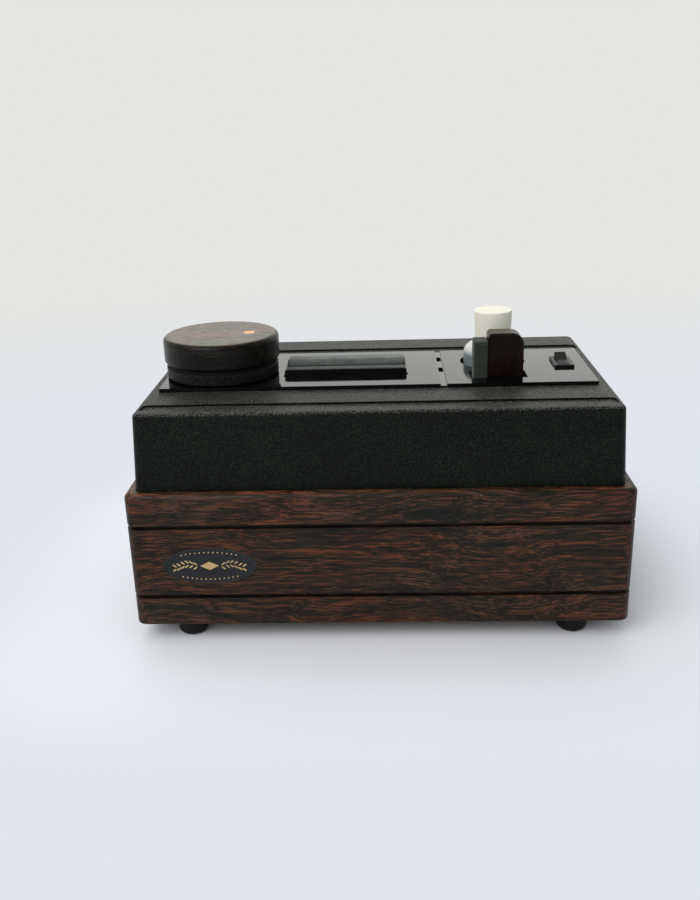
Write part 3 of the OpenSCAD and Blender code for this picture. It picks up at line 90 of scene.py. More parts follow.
class Shade:
    """One material. Each method adds a node and returns its output socket; a value may be a socket or a number."""

    def __init__(self, name, **shader):
        self.material = bpy.data.materials.new(name)
        self.material.use_nodes = True
        self.tree = self.material.node_tree
        self.tree.nodes.clear()
        self.out = self.tree.nodes.new("ShaderNodeOutputMaterial")
        self.shader = self.tree.nodes.new("ShaderNodeBsdfPrincipled")
        self.tree.links.new(self.shader.outputs[0], self.out.inputs["Surface"])
        for key, value in shader.items():
            self.set(key.replace("_", " "), value)

    def put(self, socket, value):
        if isinstance(value, bpy.types.NodeSocket):
            self.tree.links.new(value, socket)
        elif isinstance(value, (tuple, list)) and len(socket.default_value) == 4:
            socket.default_value = (*value[:3], 1.0)
        else:
            socket.default_value = value

    def set(self, name, value):
        names = {i.name.lower(): i for i in self.shader.inputs}
        self.put(names[name.lower()], value)

    def node(self, kind, inputs=(), output=0, **settings):
        n = self.tree.nodes.new(kind)
        for key, value in settings.items():
            setattr(n, key, value)
        for key, value in dict(inputs).items():
            self.put(n.inputs[key], value)
        return n.outputs[output]

    def place(self):
        """The point on the surface, in millimetres of the row's frame."""
        here = self.node("ShaderNodeTexCoord", output="Object")
        return self.node("ShaderNodeVectorMath", {0: here, 3: 1000.0}, operation="SCALE")

    def scaled(self, vector, scale=(1, 1, 1), turn=(0, 0, 0), shift=(0, 0, 0)):
        """The vector turned by degrees and shifted, then multiplied by scale on each axis."""
        rotation = tuple(math.radians(a) for a in turn)
        turned = self.node("ShaderNodeMapping", {"Vector": vector, "Location": shift, "Rotation": rotation})
        return self.node("ShaderNodeVectorMath", {0: turned, 1: scale}, operation="MULTIPLY")

    def noise(self, vector, scale=1.0, detail=2.0, rough=0.5):
        inputs = {"Vector": vector, "Scale": scale, "Detail": detail, "Roughness": rough}
        return self.node("ShaderNodeTexNoise", inputs)

    def cells(self, vector, scale, smooth):
        """Distance from the middle of the nearest cell, with the borders between cells rounded by smooth."""
        inputs = {"Vector": vector, "Scale": scale, "Smoothness": smooth}
        return self.node("ShaderNodeTexVoronoi", inputs, feature="SMOOTH_F1")

    def math(self, operation, a, b=0.0):
        return self.node("ShaderNodeMath", {0: a, 1: b}, operation=operation)

    def added(self, a, share_a, b, share_b):
        """The sum of two values, each multiplied by its share."""
        return self.math("ADD", self.math("MULTIPLY", a, share_a), self.math("MULTIPLY", b, share_b))

    def span(self, value, low, high, to_low=0.0, to_high=1.0):
        return self.node("ShaderNodeMapRange", {"Value": value, "From Min": low, "From Max": high,
                         "To Min": to_low, "To Max": to_high})

    def mix(self, share, a, b, blend="MIX"):
        n = self.tree.nodes.new("ShaderNodeMix")
        n.data_type, n.blend_type = "RGBA", blend
        self.put(n.inputs["Factor"], share)
        colours = [i for i in n.inputs if i.type == "RGBA"]
        self.put(colours[0], a)
        self.put(colours[1], b)
        return next(o for o in n.outputs if o.type == "RGBA")

    def ramp(self, value, stops):
        n = self.tree.nodes.new("ShaderNodeValToRGB")
        self.put(n.inputs[0], value)
        marks = n.color_ramp.elements
        while len(marks) < len(stops):
            marks.new(0.5)
        for mark, (at, colour) in zip(marks, stops):
            mark.position = at
            mark.color = (*colour, 1.0)
        return n.outputs[0]

    def apart(self, vector):
        n = self.tree.nodes.new("ShaderNodeSeparateXYZ")
        self.put(n.inputs[0], vector)
        return n.outputs[0], n.outputs[1], n.outputs[2]

    def facing_up(self, low=0.3, high=0.9):
        """1 on surfaces that face up, 0 on upright ones."""
        normal = self.node("ShaderNodeNewGeometry", output="Normal")
        return self.span(self.apart(normal)[2], low, high)

    def joined(self, x, y, z):
        return self.node("ShaderNodeCombineXYZ", {0: x, 1: y, 2: z})

    def bump(self, height, depth_mm, strength):
        inputs = {"Height": height, "Distance": depth_mm * MM, "Strength": strength}
        self.set("normal", self.node("ShaderNodeBump", inputs))


def srgb(*c):
    """A colour written as 0 to 255 in sRGB, made linear."""
    return tuple((v / 255 / 12.92) if v <= 10 else ((v / 255 + 0.055) / 1.055) ** 2.4 for v in c)


# Materials

# Dark, middle and bright streaks of the boards, and the paler ones painted on their top edge as a highlight of light
# from above
WALNUT = (srgb(6, 8, 4), srgb(36, 26, 17), srgb(94, 52, 34))
WALNUT_LIT_TOP = (srgb(20, 20, 13), srgb(68, 49, 34), srgb(150, 86, 60))
# Turn in degrees that lays the grain, which runs along x, along another axis
GRAIN_TURN = {"X": (0, 0, 0), "Y": (0, 0, -90), "Z": (0, 90, 0)}
# Frequencies along and across the grain, per millimetre
SWAY, ARCHES, PATCHES = (0.007, 0.014, 0.014), (0.016, 0.03, 0.03), (0.014, 0.035, 0.035)
PORES = (0.1, 2.2, 2.2)
# Half width and height of the arched figure in a board, in millimetres
ARCH_W, ARCH_H = 46.0, 9.0
REDDER, GREENER = (1.22, 0.94, 0.88), (0.78, 1.02, 1.06)
# The black of the open pores, and the painted shade put in the grooves
PORE_BLACK, GROOVE_SHADE_BLACK = (0.004, 0.004, 0.003), (0.001, 0.001, 0.001)
# How far the value of the streaks lies from 0.5 at full dark and full bright, at a contrast of 1
STREAK_SPAN = 0.13


def stained_wood(name, grain="X", seed=0, colours=WALNUT, gloss=0.42, contrast=1.3, warp=10.0, spec=0.2,
                 top=WALNUT_LIT_TOP, dash=(0.05, 1.05), arch_at=None):
    """Dark stained, open-pored wood: dashes along the grain, wider bands that sway a little, red patches.

    top holds the streaks painted on surfaces that face up as a highlight of light from above, dash the frequencies of
    the dashes along and across the grain, and arch_at the place of an arched figure along it.
    """
    s = Shade(name, specular_ior_level=spec)
    along, across = dash
    p = s.scaled(s.place(), turn=GRAIN_TURN[grain])
    x, y, z = s.apart(p)

    # The streaks' wander across the grain, in millimetres
    sway = s.noise(s.scaled(p, SWAY, shift=(seed * 70, 0, 0)), detail=1.0)
    arch = s.noise(s.scaled(p, ARCHES, shift=(0, seed * 90, 40)))
    drift = s.added(s.math("SUBTRACT", sway, 0.5), warp * 2.2, s.math("SUBTRACT", arch, 0.5), warp)
    if arch_at:
        off = s.math("DIVIDE", s.math("SUBTRACT", x, arch_at), ARCH_W)
        hump = s.math("EXPONENT", s.math("MULTIPLY", s.math("MULTIPLY", off, off), -1.0))
        drift = s.math("ADD", drift, s.math("MULTIPLY", hump, ARCH_H))
    flow = s.joined(x, s.math("ADD", y, drift), s.math("ADD", z, drift))

    dashes = s.noise(s.scaled(flow, (along, across, across)), 1.0, 3.0, 0.68)
    wide = (along * 0.22, across * 0.2, across * 0.2)
    bands = s.noise(s.scaled(flow, wide, shift=(9, 4, seed * 30)), 1.0, 3.0, 0.6)
    reach = STREAK_SPAN / contrast
    value = s.span(s.added(dashes, 0.6, bands, 0.4), 0.5 - reach, 0.5 + reach)

    def streaks(dark, middle, bright):
        return s.ramp(value, [(0.0, dark), (0.55, middle), (1.0, bright)])

    # Surfaces that face up take the top streaks: a painted highlight of light from above
    colour = s.mix(s.facing_up(0.85, 0.99), streaks(*colours), streaks(*top))
    patches = s.noise(s.scaled(p, PATCHES, shift=(seed * 50, 20, 9)), rough=0.55)
    red, green = (s.mix(1.0, colour, tint, "MULTIPLY") for tint in (REDDER, GREENER))
    colour = s.mix(s.span(patches, 0.36, 0.64), green, red)
    pores = s.span(s.noise(s.scaled(flow, PORES, shift=(5, 5, 5)), detail=1.0), 0.33, 0.43)
    colour = s.mix(pores, s.mix(0.6, colour, PORE_BLACK), colour)
    # Painted shade: grooves and other shut-in places are darkened nearly to black by ambient occlusion
    painted_groove_shade = s.node("ShaderNodeAmbientOcclusion", {"Distance": 5 * MM}, output="AO", samples=4)
    s.set("base color", s.mix(s.span(painted_groove_shade, 0.42, 0.85, 0.97, 0.0), colour, GROOVE_SHADE_BLACK))

    s.set("roughness", s.span(pores, 0, 1, gloss + 0.2, gloss))
    fibres = s.noise(s.scaled(flow, (along * 3, across * 3.2, across * 3.2)))
    s.bump(s.math("ADD", s.math("MULTIPLY", fibres, 0.5), pores), 0.04, 0.6)
    return s.material


def plain_wood(name, dark, pale):
    """Plain wood with its grain along x."""
    s = Shade(name, specular_ior_level=0.3)
    p = s.place()
    streaks = s.noise(s.scaled(p, (0.02, 0.4, 0.4)), 1.0, 4.0, 0.6)
    s.set("base color", s.ramp(streaks, [(0.3, dark), (0.7, pale)]))
    fine = s.noise(s.scaled(p, (0.3, 3, 3)))
    s.set("roughness", s.span(fine, 0.3, 0.7, 0.55, 0.8))
    s.bump(fine, 0.08, 0.6)
    return s.material


def grained_plastic(name, low, high, cell=1.0, rough=(0.4, 0.6), spec=0.15, top=None):
    """Moulded plastic with a grain of small irregular pebbles, cell millimetres wide, with a highlight painted on
    their tops.

    top holds the two colours painted on surfaces that face up, a sheen of light from above.
    """
    s = Shade(name, specular_ior_level=spec)
    p = s.place()
    wander = s.noise(p, 0.6 / cell, rough=0.6)
    push = {0: s.joined(wander, wander, wander), 3: cell * 1.2}
    shift = s.node("ShaderNodeVectorMath", push, operation="SCALE")
    warped = s.node("ShaderNodeVectorMath", {0: p, 1: shift}, operation="ADD")
    pebbles = s.span(s.cells(warped, 1 / cell, smooth=0.35), 0.15, 0.62, 1.0, 0.0)
    fine = s.noise(p, 1.4 / cell, rough=0.6)
    cloud = s.math("SUBTRACT", s.noise(p, 0.02, 3.0, 0.6), 0.5)
    value = s.math("ADD", s.added(pebbles, 0.6, fine, 0.4), s.math("MULTIPLY", cloud, 0.3))

    # Painted highlight: each pebble's middle is paler than its border, as if lit on its top
    def pebbles_highlighted(dark, pale):
        return s.ramp(value, [(0.42, dark), (0.68, pale)])

    colour = pebbles_highlighted(low, high)
    # Surfaces that face up take the top colours: a painted sheen of light from above
    if top:
        colour = s.mix(s.facing_up(), colour, pebbles_highlighted(*top))
    s.set("base color", colour)
    s.set("roughness", s.span(fine, 0.3, 0.7, *rough))
    s.bump(s.math("ADD", pebbles, s.math("MULTIPLY", fine, 0.5)), 0.16, 0.9)
    return s.material


def plastic(name, low, high, rough=(0.3, 0.4), grain=0.8, depth=0.01, spec=0.5, **more):
    """Smooth plastic or rubber; grain is the fine grain's frequency per millimetre, depth its height."""
    s = Shade(name, specular_ior_level=spec, **more)
    p = s.place()
    fine = s.noise(p, grain, 3.0, 0.6)
    large = s.noise(p, 0.03, 3.0, 0.6)
    s.set("base color", s.ramp(s.added(fine, 0.4, large, 0.6), [(0.35, low), (0.65, high)]))
    s.set("roughness", s.span(large, 0.35, 0.65, *rough))
    s.bump(fine, depth, 0.6)
    return s.material


def metal(name, colour, rough=(0.25, 0.4), brushed=(1, 1, 1), metallic=1.0):
    """Metal with fine lines, whose frequencies per millimetre are brushed."""
    s = Shade(name, metallic=metallic)
    p = s.place()
    lines = s.noise(s.scaled(p, brushed), 2.0, 3.0, 0.7)
    large = s.noise(p, 0.05, 3.0, 0.6)
    s.set("base color", s.mix(s.span(large, 0.35, 0.65), tuple(c * 0.7 for c in colour), colour))
    s.set("roughness", s.span(lines, 0.3, 0.7, *rough))
    s.bump(lines, 0.006, 0.6)
    return s.material


def velvet(name, low, high, sheen, weave=None):
    """Short pile with brushed patches; weave is the spacing of a slanting weave, in millimetres."""
    s = Shade(name, specular_ior_level=0.15, sheen_weight=sheen, sheen_roughness=0.45, sheen_tint=(0.75, 0.8, 0.82))
    p = s.place()
    tufts = s.noise(s.scaled(p, (2.2, 2.2, 2.2)), 1.0, 3.0, 0.7)
    brushed = s.noise(s.scaled(p, (0.08, 0.25, 0.25)), 1.0, 3.0, 0.6)
    value = s.added(tufts, 0.5, brushed, 0.5)
    height = tufts
    if weave:
        x, y, z = s.apart(p)
        slant = s.math("ADD", s.math("ADD", x, y), z)
        ribs = s.math("SINE", s.math("MULTIPLY", slant, 2 * math.pi / weave))
        value = s.math("ADD", value, s.math("MULTIPLY", ribs, 0.05))
        height = s.math("ADD", height, s.math("MULTIPLY", ribs, 0.25))
    s.set("base color", s.ramp(value, [(0.34, low), (0.66, high)]))
    s.set("roughness", s.span(tufts, 0.3, 0.7, 0.85, 1.0))
    s.bump(height, 0.25, 0.8)
    return s.material


def bottle_plastic(name, top, line, bottom, level_z):
    """Milky plastic that turns darker and bluish below a line at level_z millimetres."""
    s = Shade(name, specular_ior_level=0.5, subsurface_weight=0.25, subsurface_scale=0.004)
    p = s.place()
    cloud = s.noise(p, 0.12, 3.0, 0.6)
    height = s.math("ADD", s.apart(p)[2], s.math("MULTIPLY", cloud, 0.8))
    value = s.span(height, level_z - 3.5, level_z + 6.5)
    s.set("base color", s.ramp(value, [(0.30, bottom), (0.38, line), (0.75, top)]))
    s.set("roughness", s.span(cloud, 0.35, 0.65, 0.28, 0.42))
    s.bump(s.noise(p, 1.2), 0.02, 0.5)
    return s.material


# The material of each look
M = {
    "front": stained_wood("front_board_wood", seed=1, arch_at=92),
    "rear": stained_wood("rear_board_wood", seed=2),
    "left": stained_wood("left_board_wood", grain="Y", seed=3),
    "right": stained_wood("right_board_wood", grain="Y", seed=4),
    # The disc's top takes the pale top streaks, a painted sheen of light from above
    "disc": stained_wood("disc_wood", seed=5, colours=(srgb(3, 3, 2), srgb(13, 12, 9), srgb(46, 37, 28)),
                         top=(srgb(74, 64, 54), srgb(94, 81, 70), srgb(126, 102, 84)), gloss=0.26, spec=0.14,
                         contrast=0.9, warp=5.0, dash=(0.03, 1.0)),
    # The handle's top and rounded edges take the paler top streaks, a painted highlight
    "handle": stained_wood("handle_wood", grain="Z", seed=6,
                           colours=(srgb(17, 8, 4), srgb(24, 12, 6), srgb(32, 15, 9)),
                           top=(srgb(51, 40, 28), srgb(65, 51, 36), srgb(83, 58, 45)), gloss=0.25, spec=0.08,
                           warp=3.0, dash=(0.03, 0.9)),
    "pine": plain_wood("plain_wood", srgb(150, 118, 78), srgb(196, 164, 118)),
    "board": plain_wood("panel_board", srgb(96, 72, 50), srgb(126, 98, 70)),
    # The housing's top takes the pale top colours, a painted sheen of light from above
    "housing": grained_plastic("housing_plastic", srgb(1, 3, 1), srgb(30, 40, 26), rough=(0.35, 0.55), spec=0.13,
                               top=(srgb(18, 19, 17), srgb(106, 109, 100))),
    "platter": grained_plastic("platter_plastic", srgb(6, 9, 6), srgb(42, 48, 40), cell=1.1),
    "gloss": plastic("gloss_black", srgb(6, 6, 7), srgb(11, 11, 12), rough=(0.05, 0.08), grain=0.05, depth=0.002,
                     spec=0.28),
    "block": plastic("block_black", srgb(7, 9, 7), srgb(14, 16, 13), rough=(0.16, 0.24), grain=0.3, depth=0.004,
                     spec=0.15),
    "strip": plastic("strip_plastic", srgb(12, 13, 12), srgb(22, 23, 22), rough=(0.12, 0.18), depth=0.004),
    "velvet": velvet("lip_velvet", srgb(62, 66, 62), srgb(112, 116, 110), sheen=0.4),
    "front_pile": velvet("front_lip_velvet", srgb(52, 57, 52), srgb(74, 79, 73), sheen=0.25),
    "pad": velvet("pad_velvet", srgb(38, 43, 37), srgb(60, 66, 57), weave=1.3, sheen=0.2),
    "moulded": plastic("moulded_black", srgb(20, 20, 21), srgb(34, 34, 36), rough=(0.4, 0.55), depth=0.03, grain=2.0,
                       spec=0.25),
    "tank": plastic("tank_plastic", srgb(196, 200, 196), srgb(220, 223, 219), rough=(0.35, 0.5),
                    subsurface_weight=0.2, subsurface_scale=0.004),
    "rubber": plastic("rubber", srgb(16, 16, 16), srgb(30, 30, 30), rough=(0.6, 0.8), depth=0.04, grain=2.0,
                      spec=0.2),
    "mat": plastic("mat_rubber", srgb(10, 10, 10), srgb(20, 20, 20), rough=(0.65, 0.85), depth=0.05, grain=3.0,
                   spec=0.15),
    "foot": plastic("foot_rubber", srgb(7, 9, 8), srgb(16, 18, 17), rough=(0.5, 0.7), depth=0.03, grain=2.0,
                    spec=0.2),
    "zinc": metal("zinc_sheet", srgb(160, 163, 166), (0.3, 0.5), (0.2, 0.2, 3)),
    "screw": metal("screw_zinc", srgb(190, 192, 194), (0.2, 0.35), (2, 2, 2)),
    "ground": metal("ground_steel", srgb(205, 206, 208), (0.12, 0.25), (3, 3, 0.4)),
    "fan": metal("fan_aluminium", srgb(200, 203, 207), (0.2, 0.35), (1, 1, 1)),
    "iron": metal("laminated_iron", srgb(92, 92, 96), (0.4, 0.6), (6, 0.1, 0.1), metallic=0.8),
    "brass": metal("bush_brass", srgb(202, 164, 92), (0.2, 0.35), (0.3, 0.3, 4)),
    "carbon": plastic("carbon", srgb(24, 24, 25), srgb(44, 44, 46), rough=(0.5, 0.7), depth=0.02, grain=3.0,
                      spec=0.3),
    "nylon": plastic("washer_nylon", srgb(222, 220, 208), srgb(236, 234, 224), rough=(0.3, 0.4)),
    "wire": plastic("wire_sleeve", srgb(104, 20, 16), srgb(140, 32, 26), rough=(0.35, 0.5)),
    "terminal": plastic("terminal_plastic", srgb(206, 202, 190), srgb(226, 222, 212), rough=(0.4, 0.5)),
    "marker": plastic("marker_amber", srgb(226, 130, 44), srgb(246, 178, 86), rough=(0.2, 0.3), grain=0.5),
    "cap": plastic("cap_plastic", srgb(231, 228, 211), srgb(239, 237, 221), rough=(0.42, 0.5), depth=0.015,
                   subsurface_weight=0.15, subsurface_scale=0.003),
    "bottle": bottle_plastic("bottle_plastic", srgb(194, 197, 190), srgb(140, 156, 158), srgb(110, 126, 128),
                             level_z=189.0),
    "bezel": plastic("bezel_plastic", srgb(5, 7, 4), srgb(12, 15, 10), rough=(0.3, 0.4), depth=0.02, grain=2.5,
                     spec=0.25),
    "rocker": plastic("rocker_plastic", srgb(6, 8, 5), srgb(13, 16, 11), rough=(0.34, 0.44), depth=0.02, grain=2.5,
                      spec=0.12),
    "badge": plastic("badge_black", srgb(16, 17, 20), srgb(26, 27, 31), rough=(0.25, 0.35), depth=0.004, spec=0.3),
    "badge_rim": plastic("badge_edge", srgb(38, 40, 38), srgb(54, 56, 52), rough=(0.3, 0.4), depth=0.004, spec=0.3),
    "gold": metal("badge_gold", srgb(200, 170, 116), (0.35, 0.5), (4, 4, 4), metallic=0.35),
}

# The nodes that have each look
LOOKS = {
    "front": ["front_board"], "rear": ["rear_board"], "left": ["left_board"], "right": ["right_board"],
    "pine": ["front_cleat", "rear_cleat", "front_rail", "rear_rail"], "board": ["bottom_panel"],
    "screw": ["panel_screws", "foot_screws", "housing_screws", "rear_panel_screws", "spindle_collar"],
    "foot": ["feet", "motor_pads"], "housing": ["top_housing"],
    "platter": ["platter"], "mat": ["platter_mat", "disc_pad"],
    "gloss": ["left_plate", "right_plate"], "block": ["slot_block"], "strip": ["joint_strip"],
    "moulded": ["suction_duct", "tank_lid", "drain_spout", "bottle_well", "brush_well"],
    "rubber": ["duct_hose", "vacuum_hose", "drain_plug", "cable_gland"], "tank": ["waste_tank"],
    "zinc": ["fan_housing", "motor_can", "motor_bracket", "rear_panel"], "fan": ["fan_wheel"],
    "iron": ["motor_stator", "motor_armature"], "ground": ["motor_bearings", "spindle"], "carbon": ["carbon_brushes"],
    "brass": ["bearing_bush"], "nylon": ["thrust_washer"], "disc": ["turning_disc"], "marker": ["disc_marker"],
    "bottle": ["bottle_body"], "cap": ["bottle_cap"], "handle": ["brush_handle"],
    "bezel": ["switch_body"], "rocker": ["switch_rocker"], "terminal": ["terminal_block"], "wire": ["wiring"],
    "velvet": ["velvet_lip"], "front_pile": ["front_lip"], "pad": ["brush_pad"], "badge": ["badge_plate"],
}
for look, names in LOOKS.items():
    for name in names:
        node = NODES[name]
        if not node.material_slots:
            node.data.materials.append(M[look])
        for each in node.material_slots:
            each.material = M[look]
missing = set(NODES) - {n for names in LOOKS.values() for n in names}
if missing:
    raise SystemExit(f"no material for {sorted(missing)}")


# Pieces

TINY = 1e-9
# Frequencies of the pads' fuzz, per metre, and the height above a pad's seat that stays smooth
FINE_FUZZ, COARSE_FUZZ = 900, 240
SEATED = 0.2 * MM


def mesh_piece(name, bm, material, body, sharp_angle=None):
    """A smooth shaded piece that rides on a body, with its edges past sharp_angle degrees kept sharp."""
    mesh = bpy.data.meshes.new(name)
    bm.normal_update()
    bm.to_mesh(mesh)
    bm.free()
    piece = bpy.data.objects.new(name, mesh)
    bpy.context.scene.collection.objects.link(piece)
    mesh.materials.append(material)
    for f in mesh.polygons:
        f.use_smooth = True
    if sharp_angle:
        mesh.set_sharp_from_angle(angle=math.radians(sharp_angle))
    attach(piece, body)
    return piece


def crowned_pad(low, high, edge, step, fuzz, seed, flat_bottom=True):
    """A soft block between two corners, rounded by edge and roughened by fuzz, in faces about step wide."""
    size = high - low
    counts = [max(2, round(size[a] / step)) for a in range(3)]
    bm = bmesh.new()
    points = {}

    def vertex(key):
        if key not in points:
            points[key] = bm.verts.new([low[a] + size[a] * key[a] / counts[a] for a in range(3)])
        return points[key]

    for axis in range(3):
        b, c = (axis + 1) % 3, (axis + 2) % 3
        for side in (0, counts[axis]):
            for j in range(counts[b]):
                for k in range(counts[c]):
                    corner = []
                    for dj, dk in ((0, 0), (1, 0), (1, 1), (0, 1)):
                        at = [0, 0, 0]
                        at[axis], at[b], at[c] = side, j + dj, k + dk
                        corner.append(vertex(tuple(at)))
                    bm.faces.new(corner if side else corner[::-1])
    inner_low = [low[a] + edge for a in range(3)]
    inner_high = [high[a] - edge for a in range(3)]
    if flat_bottom:
        inner_low[2] = low[2]
    for v in bm.verts:
        core = Vector([min(max(v.co[a], inner_low[a]), inner_high[a]) for a in range(3)])
        off = v.co - core
        out = Vector((0, 0, 1))
        if off.length > TINY:
            reach = max(abs(off[a]) for a in range(3))
            out = off.normalized()
            v.co = core + out * reach
        rough = 0.6 * noise.noise(v.co * FINE_FUZZ + Vector((seed, 0, 0)))
        rough += 0.4 * noise.noise(v.co * COARSE_FUZZ + Vector((0, seed, 0)))
        if v.co[2] > low[2] + SEATED:
            v.co -= out * fuzz * (0.5 + 0.5 * rough)
    return bm


def corners(node):
    low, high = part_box(node)
    return Vector(low), Vector(high)


def make_lips():
    """The thick velvet lip behind the suction slot and the thin one in front of it."""
    bm = crowned_pad(*corners("velvet_lip"), edge=3.6 * MM, step=0.8 * MM, fuzz=0.18 * MM, seed=3)
    lip = mesh_piece("velvet_lip_pile", bm, M["velvet"], "cabinet")
    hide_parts("velvet_lip")
    bm = crowned_pad(*corners("front_lip"), edge=0.3 * MM, step=0.6 * MM, fuzz=0.05 * MM, seed=5)
    strip = mesh_piece("front_lip_pile", bm, M["front_pile"], "cabinet")
    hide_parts("front_lip")


def make_pad():
    """The brush's velvet pad."""
    bm = crowned_pad(*corners("brush_pad"), edge=1.2 * MM, step=0.9 * MM, fuzz=0.15 * MM, seed=8, flat_bottom=False)
    pad = mesh_piece("brush_pad_velvet", bm, M["pad"], "brush")
    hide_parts("brush_pad")


# Badge: a plain dark oval with a generic inlaid ornament, no lettering. Its measures are in millimetres

BADGE_SHARP = 35
FACE_IN = 0.25
RIM_IN, RIM_W, RIM_FACE, RIM_DEPTH = 0.05, 0.5, 0.05, 0.3
INLAY_OUT, INLAY_DEPTH = 0.06, 0.1
LOZENGE_HALF_W, LOZENGE_HALF_H = 7.0, 3.4
LEAF_COUNT, LEAF_START, LEAF_STEP = 6, 10.5, 3.1
LEAF_LEN, LEAF_W, LEAF_OFF, LEAF_LEAN = 3.8, 1.3, 1.7, 0.65
STEM_RISE, STEM_WAVE = 1.6, 0.9
BEAD_W, BEAD_STEP, BEAD_IN, BEADS_EACH_SIDE = 1.15, 3.4, 3.6, 6


def flat_shape(bm, outline, y, depth):
    """A thin upright plate from its outline in x and z, its face at y."""
    front = [bm.verts.new((x, y, z)) for x, z in outline]
    back = [bm.verts.new((x, y + depth, z)) for x, z in outline]
    bm.faces.new(front)
    bm.faces.new(back[::-1])
    n = len(outline)
    for i in range(n):
        bm.faces.new([front[i], back[i], back[(i + 1) % n], front[(i + 1) % n]])


def ring_shape(bm, outer, inner, y, depth):
    """A thin upright ring between two outlines, its face at y."""
    n = len(outer)
    rows = [[bm.verts.new((x, yy, z)) for x, z in line] for line, yy in
            ((outer, y), (inner, y), (inner, y + depth), (outer, y + depth))]
    for a in range(4):
        b = (a + 1) % 4
        for i in range(n):
            j = (i + 1) % n
            bm.faces.new([rows[a][i], rows[a][j], rows[b][j], rows[b][i]])


def oval(cx, cz, w, h, count):
    """The outline of an ellipse, as count points."""
    angles = [2 * math.pi * i / count for i in range(count)]
    return [(cx + w / 2 * math.cos(a), cz + h / 2 * math.sin(a)) for a in angles]


def leaf(cx, cz, length, width, turn, count=16):
    """The outline of a leaf with its tip at one end, turned by an angle in radians."""
    shape = []
    for i in range(count):
        t = i / count * 2 * math.pi
        taper = abs(math.sin(t / 2 + math.pi / 2)) ** 0.3
        u, v = length / 2 * math.cos(t), width / 2 * math.sin(t) * taper
        shape.append((cx + u * math.cos(turn) - v * math.sin(turn), cz + u * math.sin(turn) + v * math.cos(turn)))
    return shape


def make_badge():
    low, high = corners("badge_plate")
    cx, cz = (low[0] + high[0]) / 2, (low[2] + high[2]) / 2
    w, h = high[0] - low[0], high[2] - low[2]
    face = low[1] + FACE_IN * MM

    bm = bmesh.new()
    flat_shape(bm, oval(cx, cz, w, h, 120), face, high[1] - face)
    plate = mesh_piece("badge_oval", bm, M["badge"], "cabinet", BADGE_SHARP)
    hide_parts("badge_plate")

    bm = bmesh.new()
    outer, inner = (oval(cx, cz, w - 2 * off * MM, h - 2 * off * MM, 120) for off in (RIM_IN, RIM_IN + RIM_W))
    ring_shape(bm, outer, inner, low[1] + RIM_FACE * MM, RIM_DEPTH * MM)
    mesh_piece("badge_rim", bm, M["badge_rim"], "cabinet", BADGE_SHARP)

    # A lozenge in the middle, a garland of leaves to each side, and a row of beads above and below
    bm = bmesh.new()
    y, depth = face - INLAY_OUT * MM, INLAY_DEPTH * MM
    dx, dz = LOZENGE_HALF_W * MM, LOZENGE_HALF_H * MM
    flat_shape(bm, [(cx, cz + dz), (cx - dx, cz), (cx, cz - dz), (cx + dx, cz)], y, depth)
    for side in (-1, 1):
        for i in range(LEAF_COUNT):
            x = cx + side * (LEAF_START + LEAF_STEP * i) * MM
            z = cz + STEM_RISE * math.sin(i * STEM_WAVE) * MM
            for up in (-1, 1):
                turn = LEAF_LEAN * up if side > 0 else math.pi - LEAF_LEAN * up
                flat_shape(bm, leaf(x, z + up * LEAF_OFF * MM, LEAF_LEN * MM, LEAF_W * MM, turn), y, depth)
    for i in range(-BEADS_EACH_SIDE, BEADS_EACH_SIDE + 1):
        x = i * BEAD_STEP * MM
        for up in (-1, 1):
            z = up * (h / 2 - BEAD_IN * MM) * math.sqrt(max(0.0, 1 - (x / (w / 2)) ** 2))
            flat_shape(bm, oval(cx + x, cz + z, BEAD_W * MM, BEAD_W * MM, 12), y, depth)
    mesh_piece("badge_inlay", bm, M["gold"], "cabinet", BADGE_SHARP)


make_camera()
make_lips()
make_pad()
make_badge()


# Stage and light

BACKGROUND = srgb(229, 230, 225)
HAZE = srgb(225, 229, 236)
FLOOR_HALF = 6.0
# Distances from the base's outline in millimetres: where the lit table top turns into a flat pale colour, so
# that only the shadow near the object shows, and where that colour turns into the background
SHADOW_END, HAZE_END = (8.0, 160.0), (400.0, 1300.0)


